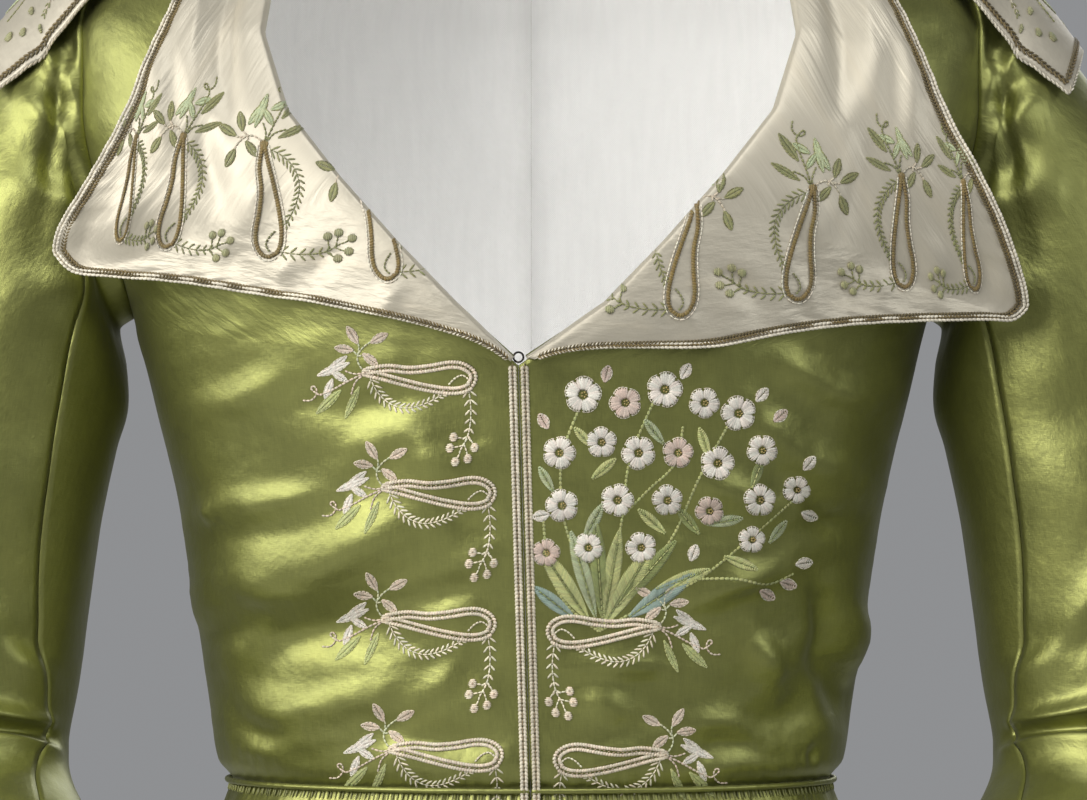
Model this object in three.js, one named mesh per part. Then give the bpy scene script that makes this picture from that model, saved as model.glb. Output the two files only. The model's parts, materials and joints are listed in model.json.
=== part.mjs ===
// A woman's redingote of silk satin: a fitted bodice that hooks at the centre front, wide turned-back lapels that run
// into a shawl collar, shaped epaulettes, two-piece sleeves bent at the elbow, and a full skirt of six gores.
// Millimetres, +Z up, the front faces -Y and the wearer's left is +X. The origin is midway between the neck ends of the
// two shoulder seams, where the shoulders carry the coat. Heights in the tables are measured up from the waist seam.
import * as THREE from "three";

// Driving dimensions
const CLOTH = 1.6; // thickness of a cloth wall
const GAP = 0.4; // space between two pieces at a seam
const NECK_Z = 385; // neck end of the shoulder seam above the waist seam
const TIP_Z = 328; // shoulder tip
const SIDE_Y = 4; // depth of the side and shoulder seams
const CLOSE_Z = 163; // top of the hooked front edge, where the lapels break
const CLOSE_LEAN = 4.5; // sideways lean of the hooked edges over that height
const ARMPIT_Z = 184; // lowest point of the armhole
const ARMHOLE_FORE = 38; // armhole's reach in front of the shoulder seam
const ARMHOLE_AFT = 56; // and behind it
const SKIRT_LENGTH = 1000; // waist seam to hem
const HEM_PARTING = 24; // how far each front edge stands off the centre line at the hem
const SKIRT_FOLDS = 20; // soft flutes around the skirt
const PIPING_R = 1.2; // corded waist seam
const WIRE_R = 0.45; // wire of the eye at the top of the closure
const EYE_R = 1.9; // and the radius it is bent to

const BACK_SEAM = THREE.MathUtils.degToRad(290); // sleeve's back seam, turned from its inner line round the front

const rows = (columns, values) =>
  values.map((row) => Object.fromEntries(columns.map((name, i) => [name, row[i]])));

// Sections of the trunk: half width, depth before and behind the side seam, and the exponent of the section's curve
const TRUNK = rows(["z", "half", "front", "back", "round"], [
  [0, 118, 86, 78, 2.0],
  [8, 124, 90, 82, 2.0],
  [30, 127.5, 93, 84, 2.0],
  [60, 132, 99, 87, 2.0],
  [110, 140, 112, 93, 2.1],
  [150, 149.5, 120, 98, 2.2],
  [188, 159, 124, 103, 2.25],
  [225, 172, 119, 106, 2.35],
  [265, 182, 106, 106, 2.4],
  [295, 182.5, 90, 102, 2.4],
  [316, 175, 74, 93, 2.3],
  [328, 168, 63, 86, 2.2],
  [356, 124, 40, 69, 2.0],
  [385, 78, 17, 53, 2.0],
]);

// Sections of the skirt, and how deep its flutes are there
const SKIRT = rows(["z", "half", "front", "back", "flute"], [
  [-1000, 360, 246, 360, 19],
  [-700, 300, 202, 300, 14],
  [-450, 246, 162, 240, 9.5],
  [-280, 208, 134, 196, 6.5],
  [-165, 176, 114, 160, 4.2],
  [-100, 153, 103, 134, 3],
  [-60, 140, 97, 114, 2],
  [-30, 130, 92, 96, 1.1],
  [-8, 121, 88, 82, 0.5],
  [0, 118, 86, 78, 0.3],
]);

// Neckline of a front from the top of the hooked edge to the shoulder seam
const NECKLINE = rows(["x", "z"], [
  [5, 163], [15, 172], [28, 184], [42, 198], [57, 214], [72, 231], [85, 247], [96, 262],
  [103, 279], [104, 300], [99, 326], [90, 355], [78, 385],
]);

// Outer edge of each lapel, from the break along the lower edge, round the point and up to the shoulder
const LAPEL_EDGE = {
  left: rows(["x", "z"], [
    [7, 163.5], [36, 167], [66, 170], [96, 176], [124, 179.5], [152, 181], [176, 181.5],
    [188, 181.5], [192.5, 186], [190, 197], [182, 218], [172, 238], [161, 258], [151, 282], [141, 304], [126, 331], [118, 346],
  ]),
  right: rows(["x", "z"], [
    [9, 161], [22, 171], [44, 179], [74, 186.5], [106, 191.5], [136, 196], [160, 198],
    [177, 200], [184, 207], [181, 217], [172, 231], [162, 248], [154, 264], [147, 282], [137, 304], [126, 331], [118, 346],
  ]),
};
const LAPEL_SPREAD = 88; // past this half width a lapel spans straight from the chest towards the arm
const LAPEL_LIFT = 5; // space under a lapel's outer edge
const COLLAR_STAND = 22; // height of the collar's stand at the centre back
const POINT_ROW = 8; // row of a lapel's edge that is its point
// Outer edge of the collar from the top of the shoulder to the centre back
const COLLAR_BEHIND = rows(["x", "z"], [[112, 363], [102, 361], [82, 354], [56, 347], [28, 341], [0.4, 339]]);
const FOLD_R = 2.6; // how far the fold stands beyond the neckline edge
const POINT_AT = 0.24; // share of the neckline that faces the lapel's lower edge
const SHOULDER_AT = 0.72; // share of the neckline in front of the shoulder seam

// Rings of a sleeve below the armhole: centre, lift of the ring's outward axis, forward bend, its radii, and how far
// its front and back are eased down the arm
const SLEEVE = rows(["x", "y", "z", "lift", "bend", "side", "fore", "aft", "ease"], [
  [175, 3, 248, 81.8, 0, 70.5, 36, 55, 7],
  [180, 3, 234, 76.2, 0, 73, 40, 56, 6],
  [187.5, 3, 215.5, 69.9, 0, 74, 45.5, 57, 4],
  [201, 3, 191, 60.2, 0, 70.3, 50, 57, 1],
  [213.5, 3, 155.5, 51.7, 0, 66.9, 53, 56, 0],
  [222.5, 4, 117.5, 42.4, 0, 63, 53, 54, 0],
  [228.5, 4, 77.5, 29.6, 0, 55.8, 52, 53, 0],
  [232, 3, 40, 13.8, 4, 50.4, 51, 52, 0],
  [234, 1, 12, -1, 14, 49, 50, 51, 0],
  [229, -13, -13, -14, 27, 48, 49, 50, 0],
  [207, -45, -46, -26, 38, 46, 46, 46, 0],
  [181, -82, -84, -28, 39, 42.5, 42.5, 42.5, 0],
  [155, -118, -121, -28, 39, 39, 39, 39, 0],
  [131, -151, -156, -28, 39, 36, 36, 36, 0],
]);
// Turn of the sleeve's front seam, in degrees, at rings of that table (0 is the armhole)
const FRONT_SEAM = rows(["ring", "turn"], [
  [0, 64], [2, 66], [3, 63], [4, 58], [5, 53], [6, 50], [7, 44], [8, 34], [9, 28], [10, 34], [11, 46], [14, 54],
]);

// Epaulette: where it crosses the shoulder (x on the trunk, ring on the sleeve) and how far it reaches down the front
const EPAULETTE = rows(["x", "ring", "fore", "aft"], [
  [128, 0, 38, 40],
  [143, 0, 42, 44],
  [159, 0, 45, 46],
  [0, 0.9, 45, 46],
  [0, 2, 43, 44],
  [0, 3, 37, 38],
]);
const EPAULETTE_LIFT = 5.8;

// Largest creases of the bodice fronts: from and to points on the front, width and depth (a ridge is negative)
const FRONT_CREASES = {
  left: rows(["x0", "z0", "x1", "z1", "width", "depth"], [
    [118, 48, 66, 12, 14, 2.6],
    [124, 92, 88, 40, 18, -2.2],
    [60, 84, 14, 62, 11, 1.4],
  ]),
  right: rows(["x0", "z0", "x1", "z1", "width", "depth"], [
    [118, 122, 30, 100, 15, 2.6],
    [116, 88, 40, 62, 14, -2.4],
    [122, 38, 84, 10, 13, 2.8],
    [60, 40, 12, 18, 10, 1.6],
  ]),
};
// Largest creases of a sleeve: turn (degrees) and ring at each end, width and depth
const SLEEVE_CREASES = rows(["turn0", "ring0", "turn1", "ring1", "width", "depth"], [
  [88, 0.3, 128, 2.6, 9, 5],
  [72, 0.9, 112, 3.3, 8, 4],
  [104, 0.2, 146, 2.1, 8, 4.5],
  [56, 1.4, 92, 4.2, 10, 4],
  [118, 0.5, 92, 3.2, 11, -3.5],
  [30, 8.5, 118, 8.1, 9, 5],
  [24, 9.6, 128, 9.3, 10, 5.5],
  [36, 7.6, 96, 6.6, 10, 3.2],
  [28, 9.05, 120, 8.7, 9, -4],
]);

const SATIN = new THREE.MeshStandardMaterial({ color: 0x7c8440, roughness: 0.42, metalness: 0.15, name: "green_satin" });
const IVORY = new THREE.MeshStandardMaterial({ color: 0xdcd5b8, roughness: 0.45, metalness: 0, name: "ivory_satin" });
const BROWN = new THREE.MeshStandardMaterial({ color: 0x6e5a2c, roughness: 0.7, metalness: 0, name: "brown_braid" });
const CORD = new THREE.MeshStandardMaterial({ color: 0xd8cdb0, roughness: 0.75, metalness: 0, name: "ivory_cord" });
const WIRE = new THREE.MeshStandardMaterial({ color: 0x2c2b2a, roughness: 0.4, metalness: 0.9, name: "blackened_wire" });

const { lerp, clamp, smoothstep } = THREE.MathUtils;
const vec = (x, y, z) => new THREE.Vector3(x, y, z);

// A smooth value from a table, by a key column that rises, with no overshoot between rows
function value(table, key, column, at) {
  const last = table.length - 1;
  const k = clamp(table.findIndex((row) => row[key] > at) - 1, 0, last - 1);
  const i = at >= table[last][key] ? last - 1 : k;
  const slope = (j) => (table[j + 1][column] - table[j][column]) / (table[j + 1][key] - table[j][key]);
  const tangent = (j) => {
    if (j === 0) return slope(0);
    if (j === last) return slope(last - 1);
    const [a, b] = [slope(j - 1), slope(j)];
    return a * b <= 0 ? 0 : (2 * a * b) / (a + b);
  };
  const step = table[i + 1][key] - table[i][key];
  const t = clamp((at - table[i][key]) / step, 0, 1);
  const [t2, t3] = [t * t, t * t * t];
  return (2 * t3 - 3 * t2 + 1) * table[i][column] + (t3 - 2 * t2 + t) * step * tangent(i)
    + (3 * t2 - 2 * t3) * table[i + 1][column] + (t3 - t2) * step * tangent(i + 1);
}

// A point of a smooth curve through points, at 0 to 1 by the points' own spacing
function through(points, t) {
  const lengths = [0];
  for (let i = 1; i < points.length; i++) lengths.push(lengths[i - 1] + points[i].distanceTo(points[i - 1]));
  const at = clamp(t, 0, 1) * lengths.at(-1);
  const i = clamp(lengths.findIndex((l) => l > at) - 1, 0, points.length - 2);
  const j = at >= lengths.at(-1) ? points.length - 2 : i;
  return spline(points, j + (at - lengths[j]) / (lengths[j + 1] - lengths[j]));
}

// The same curve, at a row number with a fraction
function spline(points, at) {
  const i = clamp(Math.floor(at), 0, points.length - 2);
  const t = at - i;
  const p = (j) => points[clamp(j, 0, points.length - 1)];
  const [a, b, c, d] = [p(i - 1), p(i), p(i + 1), p(i + 2)];
  const mix = (k) => 0.5 * (2 * b[k] + (c[k] - a[k]) * t + (2 * a[k] - 5 * b[k] + 4 * c[k] - d[k]) * t * t
    + (3 * b[k] - a[k] - 3 * c[k] + d[k]) * t ** 3);
  return vec(mix("x"), mix("y"), mix("z"));
}

// How far creases push a surface in at a point of a flat chart
function crease(a, b, table) {
  let push = 0;
  for (const { a0, b0, a1, b1, width, depth } of table) {
    const [da, db] = [a1 - a0, b1 - b0];
    const t = clamp(((a - a0) * da + (b - b0) * db) / (da * da + db * db), 0, 1);
    const off = Math.hypot(a - a0 - t * da, b - b0 - t * db) / width;
    push += depth * Math.exp(-off * off * 2) * Math.sin(Math.PI * clamp(0.12 + 0.76 * t, 0, 1));
  }
  return push;
}

// --- the trunk ---

const trunk = (turn, z) => {
  const power = 2 / value(TRUNK, "z", "round", z);
  const [s, c] = [Math.sin(turn), Math.cos(turn)];
  const depth = value(TRUNK, "z", c > 0 ? "front" : "back", z);
  return vec(value(TRUNK, "z", "half", z) * Math.abs(s) ** power,
    SIDE_Y - depth * Math.abs(c) ** power * Math.sign(c), z);
};

const NUDGE = 1e-3;
function normalOf(surface, a, b) {
  const across = surface(a + NUDGE, b).sub(surface(a - NUDGE, b));
  const along = surface(a, b + NUDGE).sub(surface(a, b - NUDGE));
  return across.cross(along).normalize();
}
const trunkNormal = (turn, z) => normalOf(trunk, clamp(turn, NUDGE * 2, Math.PI - NUDGE * 2), z);

// The turn from the centre front at which the trunk has a given half width, or a given depth
const turnAtX = (x, z) =>
  Math.asin(clamp(x / value(TRUNK, "z", "half", z), 0, 1) ** (value(TRUNK, "z", "round", z) / 2));
function turnAtY(y, z) {
  const [off, column] = [Math.abs(y - SIDE_Y), y < SIDE_Y ? "front" : "back"];
  const c = clamp(off / value(TRUNK, "z", column, z), 0, 1) ** (value(TRUNK, "z", "round", z) / 2);
  return y < SIDE_Y ? Math.acos(c) : Math.PI - Math.acos(c);
}

// The armhole: 0 at the armpit, a quarter turn at the front, a half turn at the shoulder tip
function armhole(turn) {
  const reach = Math.sin(turn) > 0 ? ARMHOLE_FORE : ARMHOLE_AFT;
  const z = lerp(ARMPIT_Z, TIP_Z, (1 - Math.cos(turn)) / 2);
  const y = SIDE_Y - reach * Math.sin(turn);
  const edge = Math.abs(y - SIDE_Y) < GAP / 2 ? SIDE_Y - (GAP / 2) * (Math.sin(turn) >= 0 ? 1 : -1) : y;
  return { turn: turnAtY(edge, z), z };
}

// A patch of a surface's two coordinates, filled in between four edges
function patch(left, right, bottom, top) {
  const mix = (k, u, v) => lerp(left(v)[k], right(v)[k], u) + lerp(bottom(u)[k], top(u)[k], v)
    - lerp(lerp(bottom(0)[k], bottom(1)[k], u), lerp(top(0)[k], top(1)[k], u), v);
  return (u, v) => ({ turn: mix("turn", u, v), z: mix("z", u, v) });
}

const BREAK = 0.42; // share of a front's rows below the lapel break and the armpit
const hookedX = (z, side) => GAP / 2 - side * CLOSE_LEAN * clamp(z / CLOSE_Z, 0, 1);
const NECK_POINTS = NECKLINE.map(({ x, z }) => vec(x, 0, z));

// A front edge's point may lie past the centre line, so a signed half width becomes a signed turn
const turnAtSignedX = (x, z) => Math.sign(x) * turnAtX(Math.abs(x), z);

function frontPatch(side) {
  const seamTurn = (z) => turnAtY(SIDE_Y - GAP / 2, z);
  const left = (v) => {
    if (v <= BREAK) {
      const z = (CLOSE_Z * v) / BREAK;
      return { turn: turnAtSignedX(hookedX(z, side), z), z };
    }
    const t = (v - BREAK) / (1 - BREAK);
    const p = through(NECK_POINTS, t);
    const lean = (hookedX(CLOSE_Z, side) - NECKLINE[0].x) * (1 - smoothstep(t, 0, 0.12));
    return { turn: Math.min(turnAtSignedX(p.x + lean, p.z), seamTurn(p.z)), z: p.z };
  };
  const right = (v) => {
    if (v <= BREAK) {
      const z = (ARMPIT_Z * v) / BREAK;
      return { turn: seamTurn(z), z };
    }
    return armhole((Math.PI * (v - BREAK)) / (1 - BREAK));
  };
  const bottom = (u) => ({ turn: lerp(left(0).turn, right(0).turn, u), z: 0 });
  const top = (u) => {
    const z = lerp(NECK_Z, TIP_Z, u);
    return { turn: seamTurn(z), z };
  };
  return patch(left, right, bottom, top);
}

const BACK_NECK_Z = 377;
const BACK_NECK_AT = 0.42; // share of the back's columns under the neckline
function backPatch() {
  const seamTurn = (z) => turnAtY(SIDE_Y + GAP / 2, z);
  const middle = (z) => Math.PI - turnAtX(GAP / 2, z);
  const left = (v) => ({ turn: middle(BACK_NECK_Z * v), z: BACK_NECK_Z * v });
  const right = (v) => {
    if (v <= BREAK) return { turn: seamTurn((ARMPIT_Z * v) / BREAK), z: (ARMPIT_Z * v) / BREAK };
    return armhole(2 * Math.PI - (Math.PI * (v - BREAK)) / (1 - BREAK));
  };
  const bottom = (u) => ({ turn: lerp(left(0).turn, right(0).turn, u), z: 0 });
  const top = (u) => {
    if (u < BACK_NECK_AT) {
      const t = u / BACK_NECK_AT;
      const z = lerp(BACK_NECK_Z, NECK_Z, t * t);
      return { turn: lerp(middle(z), seamTurn(z), t), z };
    }
    const z = lerp(NECK_Z, TIP_Z, (u - BACK_NECK_AT) / (1 - BACK_NECK_AT));
    return { turn: seamTurn(z), z };
  };
  return patch(left, right, bottom, top);
}

const chart = (table, keys) => table.map((row) => ({
  a0: row[keys[0]], b0: row[keys[1]], a1: row[keys[2]], b1: row[keys[3]], width: row.width, depth: row.depth,
}));

// --- solids ---

// A closed wall from a grid of outer points and their outward normals; side -1 is the mirror image
function wall(name, material, at, columns, lines, side = 1, thickness = CLOTH) {
  const [nu, nv] = [columns.length, lines.length];
  const position = [];
  const index = [];
  for (const inner of [0, thickness])
    for (const v of lines)
      for (const u of columns) {
        const { p, n } = at(u, v);
        position.push(side * (p.x - n.x * inner), p.y - n.y * inner, p.z - n.z * inner);
      }
  const id = (layer, i, j) => layer * nu * nv + j * nu + i;
  const quad = (a, b, c, d) => index.push(a, b, c, a, c, d);
  for (let j = 0; j < nv - 1; j++)
    for (let i = 0; i < nu - 1; i++) {
      quad(id(0, i, j), id(0, i + 1, j), id(0, i + 1, j + 1), id(0, i, j + 1));
      quad(id(1, i, j), id(1, i, j + 1), id(1, i + 1, j + 1), id(1, i + 1, j));
    }
  const rim = [];
  for (let i = 0; i < nu - 1; i++) rim.push([i, 0]);
  for (let j = 0; j < nv - 1; j++) rim.push([nu - 1, j]);
  for (let i = nu - 1; i > 0; i--) rim.push([i, nv - 1]);
  for (let j = nv - 1; j > 0; j--) rim.push([0, j]);
  rim.forEach(([i, j], k) => {
    const [i2, j2] = rim[(k + 1) % rim.length];
    quad(id(0, i2, j2), id(0, i, j), id(1, i, j), id(1, i2, j2));
  });
  return solid(name, material, position, index);
}

// A closed tube along points, with a chosen out direction at each, and an oval section
function tube(name, material, points, outs, wide, high, sides = 6, ring = false) {
  const position = [];
  const index = [];
  const n = points.length;
  points.forEach((p, k) => {
    const before = points[ring ? (k + n - 1) % n : Math.max(k - 1, 0)];
    const after = points[ring ? (k + 1) % n : Math.min(k + 1, n - 1)];
    const along = after.clone().sub(before).normalize();
    const out = outs[k].clone().addScaledVector(along, -outs[k].dot(along)).normalize();
    const across = along.clone().cross(out);
    for (let s = 0; s < sides; s++) {
      const a = (2 * Math.PI * (s + 0.5)) / sides;
      const q = p.clone().addScaledVector(across, (wide / 2) * Math.cos(a)).addScaledVector(out, (high / 2) * Math.sin(a));
      position.push(q.x, q.y, q.z);
    }
  });
  const spans = ring ? n : n - 1;
  for (let k = 0; k < spans; k++)
    for (let s = 0; s < sides; s++) {
      const [a, b] = [k * sides + s, k * sides + ((s + 1) % sides)];
      const [c, d] = [((k + 1) % n) * sides + ((s + 1) % sides), ((k + 1) % n) * sides + s];
      index.push(a, b, c, a, c, d);
    }
  if (!ring)
    for (let s = 1; s < sides - 1; s++) {
      index.push(0, s + 1, s);
      index.push((n - 1) * sides, (n - 1) * sides + s, (n - 1) * sides + s + 1);
    }
  return solid(name, material, position, index);
}

// A mesh whose faces point out, whichever way they were listed
function solid(name, material, position, index) {
  let volume = 0;
  const at = (i) => vec(position[3 * i], position[3 * i + 1], position[3 * i + 2]);
  for (let i = 0; i < index.length; i += 3)
    volume += at(index[i]).dot(at(index[i + 1]).cross(at(index[i + 2])));
  if (volume < 0)
    for (let i = 0; i < index.length; i += 3) [index[i + 1], index[i + 2]] = [index[i + 2], index[i + 1]];
  const geometry = new THREE.BufferGeometry();
  geometry.setAttribute("position", new THREE.Float32BufferAttribute(position, 3));
  geometry.setIndex(index);
  geometry.computeVertexNormals();
  const mesh = new THREE.Mesh(geometry, material);
  mesh.name = name;
  return mesh;
}

const steps = (n, from = 0, to = 1) => Array.from({ length: n + 1 }, (_, i) => lerp(from, to, i / n));
const mirrored = (points, side) => points.map((p) => vec(side * p.x, p.y, p.z));

const garment = new THREE.Group();
garment.position.z = -NECK_Z;

// --- bodice ---

const SIDES = [["left", 1], ["right", -1]]; // the wearer's left and right
const FRONT_LINES = [...steps(5, 0, BREAK), ...steps(8, BREAK, 1).slice(1)];

const back = backPatch();
const backAt = (u, v) => {
  const { turn, z } = back(u, v);
  return { p: trunk(turn, z), n: trunkNormal(turn, z) };
};
const frontAt = {};
for (const [word, side] of SIDES) {
  const front = frontPatch(side);
  const creases = chart(FRONT_CREASES[word], ["x0", "z0", "x1", "z1"]);
  frontAt[word] = (u, v) => {
    const { turn, z } = front(u, v);
    const p = turn < 0 ? trunk(-turn, z).multiply(vec(-1, 1, 1)) : trunk(turn, z);
    const n = turn < 0 ? trunkNormal(-turn, z).multiply(vec(-1, 1, 1)) : trunkNormal(turn, z);
    const calm = smoothstep(u, 0, 0.12) * smoothstep(1 - u, 0, 0.12) * smoothstep(v, 0, 0.08);
    return { p: p.addScaledVector(n, -calm * crease(p.x, z, creases)), n };
  };
  garment.add(wall(`front_${word}`, SATIN, frontAt[word], steps(13), FRONT_LINES, side));
  garment.add(wall(`back_${word}`, SATIN, backAt,
    [...steps(4, 0, BACK_NECK_AT), ...steps(6, BACK_NECK_AT, 1).slice(1)], FRONT_LINES, side));
}

// --- sleeves ---

const { degToRad } = THREE.MathUtils;
function sleeveRing({ x, y, z, lift, bend, side, fore, aft, ease }, turn) {
  const [l, b] = [degToRad(lift), degToRad(bend)];
  const out = vec(Math.cos(l), 0, Math.sin(l));
  const down = vec(Math.sin(l), 0, -Math.cos(l));
  const forward = vec(0, -Math.cos(b), 0).addScaledVector(down, -Math.sin(b));
  const reach = Math.sin(turn) > 0 ? fore : aft;
  return vec(x, y, z).addScaledVector(out, -Math.cos(turn) * side).addScaledVector(forward, Math.sin(turn) * reach)
    .addScaledVector(down, ease * Math.sin(turn) ** 2);
}
// A point of the plain sleeve: turn is 0 at the inner line and a quarter turn at the front; ring 0 is the armhole
function plainSleeve(turn, ring) {
  const hole = armhole(((turn % (2 * Math.PI)) + 2 * Math.PI) % (2 * Math.PI));
  const start = trunk(hole.turn, hole.z).addScaledVector(trunkNormal(hole.turn, hole.z), 1.4 * GAP).add(vec(GAP, 0, 0));
  return spline([start, ...SLEEVE.map((row) => sleeveRing(row, turn))], ring);
}
const sleeveCreases = chart(SLEEVE_CREASES, ["turn0", "ring0", "turn1", "ring1"]).map((row) => ({
  ...row, a0: row.a0 * 0.9, a1: row.a1 * 0.9, b0: row.b0 * 26, b1: row.b1 * 26,
})); // the chart's units are about a millimetre: 0.9 to a degree and 26 to a ring
function sleevePoint(turn, ring) {
  const p = plainSleeve(turn, ring);
  const n = normalOf(plainSleeve, turn, clamp(ring, 0.5, SLEEVE.length - NUDGE));
  const calm = smoothstep(ring, 0, 0.5) * smoothstep(SLEEVE.length - ring, 0, 0.6);
  return { p: p.addScaledVector(n, -calm * crease(((turn * 180) / Math.PI) * 0.9, ring * 26, sleeveCreases)), n };
}
const SEAM_TURN = (0.75 * GAP) / 45;
const SLEEVE_LINES = [0, 0.4, 0.8, 1.2, 1.6, 2.1, 2.6, 3.2, 4, 5, 6, 7, 7.6, 8.1, 8.6, 9.1, 9.6, 10.3, 11.5, 12.7, 14];
for (const [word, side] of SIDES) {
  const seamed = (from, to) => (u, ring) => sleevePoint(lerp(from(ring), to(ring), u), ring);
  const front = (gap) => (ring) => degToRad(value(FRONT_SEAM, "ring", "turn", ring)) + gap;
  const rear = (turn) => () => turn;
  garment.add(wall(`sleeve_upper_${word}`, SATIN, seamed(front(SEAM_TURN), rear(BACK_SEAM - SEAM_TURN)),
    steps(17), SLEEVE_LINES, side));
  garment.add(wall(`sleeve_under_${word}`, SATIN, seamed(rear(BACK_SEAM - 2 * Math.PI + SEAM_TURN), front(-SEAM_TURN)),
    steps(9), SLEEVE_LINES, side));
}

// --- collar ---

// The depth of the surface that a lapel lies on: the chest, then a straight span towards the arm
function lapelDepth(x, z) {
  const on = (half) => trunk(turnAtX(half, z), z).y;
  if (x <= LAPEL_SPREAD) return on(x);
  const slope = (on(LAPEL_SPREAD) - on(LAPEL_SPREAD - 6)) / 6;
  return on(LAPEL_SPREAD) + slope * (x - LAPEL_SPREAD);
}
// The neckline seam to the centre back, along the straight edges between the rows of the panels' walls
function neckSeam(word) {
  const front = steps(8).map((t) => ({ share: SHOULDER_AT * t, ...frontAt[word](0, lerp(BREAK, 1, t)) }));
  const behind = steps(4).map((t) => ({ share: lerp(SHOULDER_AT + 0.002, 1, t), ...backAt(BACK_NECK_AT * (1 - t), 1) }));
  const seam = [...front, ...behind];
  return (share) => {
    const i = clamp(seam.findIndex((row) => row.share > share) - 1, 0, seam.length - 2);
    const j = share >= seam.at(-1).share ? seam.length - 2 : i;
    const t = (share - seam[j].share) / (seam[j + 1].share - seam[j].share);
    return { p: seam[j].p.clone().lerp(seam[j + 1].p, t), n: seam[j].n.clone().lerp(seam[j + 1].n, t).normalize() };
  };
}
// The collar's outer edge in space, by the same share: up to the lapel's point, then over the shoulder to the back
function collarEdge(word) {
  const chest = LAPEL_EDGE[word].map(({ x, z }) =>
    vec(x, Math.min(lapelDepth(x, z), trunkFront(x, z)) - LAPEL_LIFT, z));
  const behind = COLLAR_BEHIND.map(({ x, z }) => {
    const turn = Math.PI - turnAtX(x, z);
    return trunk(turn, z).addScaledVector(trunkNormal(turn, z), LAPEL_LIFT);
  });
  const low = chest.slice(0, POINT_ROW + 1);
  const high = [...chest.slice(POINT_ROW), ...behind];
  return (share) => (share <= POINT_AT ? through(low, share / POINT_AT)
    : through(high, (share - POINT_AT) / (1 - POINT_AT)));
}
const trunkFront = (x, z) => (x < value(TRUNK, "z", "half", z) ? trunk(turnAtX(x, z), z).y : SIDE_Y);

// Lifts a point clear of the trunk, by at least a given distance sideways
function clearOfTrunk(p, lift) {
  const z = clamp(p.z, 0, NECK_Z);
  const power = value(TRUNK, "z", "round", z);
  const half = value(TRUNK, "z", "half", z) + lift;
  const depth = value(TRUNK, "z", p.y < SIDE_Y ? "front" : "back", z) + lift;
  const q = ((Math.abs(p.x) / half) ** power + (Math.abs(p.y - SIDE_Y) / depth) ** power) ** (1 / power);
  const soft = 0.03;
  const want = 0.5 * (q + 1 + Math.hypot(q - 1, soft));
  return p.z > NECK_Z ? p : vec((p.x * want) / q, SIDE_Y + ((p.y - SIDE_Y) * want) / q, p.z);
}

const STAND_SHARE = 0.2; // share of the collar's width, across the grid, that is stand and fold
function collarPoint(word) {
  const edge = collarEdge(word);
  const seam = neckSeam(word);
  return (share, across) => {
    const { p: base, n: out } = seam(share + 0.025 * (1 - smoothstep(share, 0, 0.09)));
    const along = seam(clamp(share + 0.01, 0, 1)).p.sub(seam(clamp(share - 0.01, 0, 1)).p).normalize();
    const up = out.clone().cross(along).normalize();
    const stand = COLLAR_STAND * smoothstep(share, 0.5, 0.95);
    const rise = (u, w) => base.clone().addScaledVector(up, u).addScaledVector(out, w);
    const turned = [rise(2 * GAP, -CLOTH / 2), rise(3 * GAP + stand * 0.6, -CLOTH / 2),
      rise(FOLD_R + stand, FOLD_R / 2), rise(FOLD_R * 0.6 + stand, FOLD_R + CLOTH)];
    if (across <= STAND_SHARE) return spline(turned, (across / STAND_SHARE) * 3);
    const t = (across - STAND_SHARE) / (1 - STAND_SHARE);
    const flat = turned[3].clone().lerp(edge(share), t);
    return clearOfTrunk(flat, LAPEL_LIFT * 0.9).lerp(turned[3], (1 - t) ** 6);
  };
}
const COLLAR_SHARES = [...new Set([
  ...steps(5, 0, 0.09), ...steps(4, 0.09, 0.18), ...steps(3, 0.18, POINT_AT), ...steps(2, POINT_AT, 0.27),
  ...steps(3, 0.27, 0.36), ...steps(8, 0.36, SHOULDER_AT), ...steps(8, SHOULDER_AT + 0.002, 1),
].map((share) => Number(share.toFixed(4))))];
const COLLAR_LINES = [...steps(3, 0, STAND_SHARE), ...steps(5, STAND_SHARE, 1).slice(1)];
const collarAt = {};
for (const [word, side] of SIDES) {
  const surface = collarPoint(word);
  collarAt[word] = (share, across) => {
    const [s, a] = [clamp(share, 2 * NUDGE, 1 - 2 * NUDGE), clamp(across, 2 * NUDGE, 1 - 2 * NUDGE)];
    const n = normalOf(surface, s, a).multiplyScalar(-1);
    const p = surface(share, across);
    if (share > SHOULDER_AT) p.setX(Math.max(p.x, GAP / 2));
    return { p, n: share < 1 ? n : n.setX(0).normalize() };
  };
  garment.add(wall(`collar_${word}`, IVORY, collarAt[word], COLLAR_SHARES, COLLAR_LINES, side, CLOTH * 0.8));
}

// --- epaulettes ---

// The shoulder's surface across the garment, from front to back, by distance down from its ridge
function overShoulder({ x, ring }, down) {
  const slice = [];
  const sign = down < 0 ? -1 : 1; // negative is to the front
  for (let k = 0; k <= 24; k++) {
    if (x) {
      const top = ridgeZ(x);
      const z = top - 90 * (k / 24) ** 2;
      const turn = turnAtX(x, z);
      slice.push(trunk(sign < 0 ? turn : Math.PI - turn, z));
    } else slice.push(plainSleeve(Math.PI + sign * (k / 24) * 1.6, ring));
  }
  let left = Math.abs(down);
  for (let k = 1; k < slice.length; k++) {
    const step = slice[k].distanceTo(slice[k - 1]);
    if (left <= step) return slice[k - 1].clone().lerp(slice[k], left / step);
    left -= step;
  }
  return slice.at(-1);
}
function ridgeZ(x) {
  let [low, high] = [TIP_Z - 20, NECK_Z];
  for (let k = 0; k < 30; k++) {
    const z = (low + high) / 2;
    if (value(TRUNK, "z", "half", z) > x) low = z;
    else high = z;
  }
  return low;
}
function epaulette(along, across) {
  const down = (row) => (across < 0 ? row.fore : row.aft) * across;
  return spline(EPAULETTE.map((row) => overShoulder(row, down(row))), along * (EPAULETTE.length - 1));
}
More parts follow.
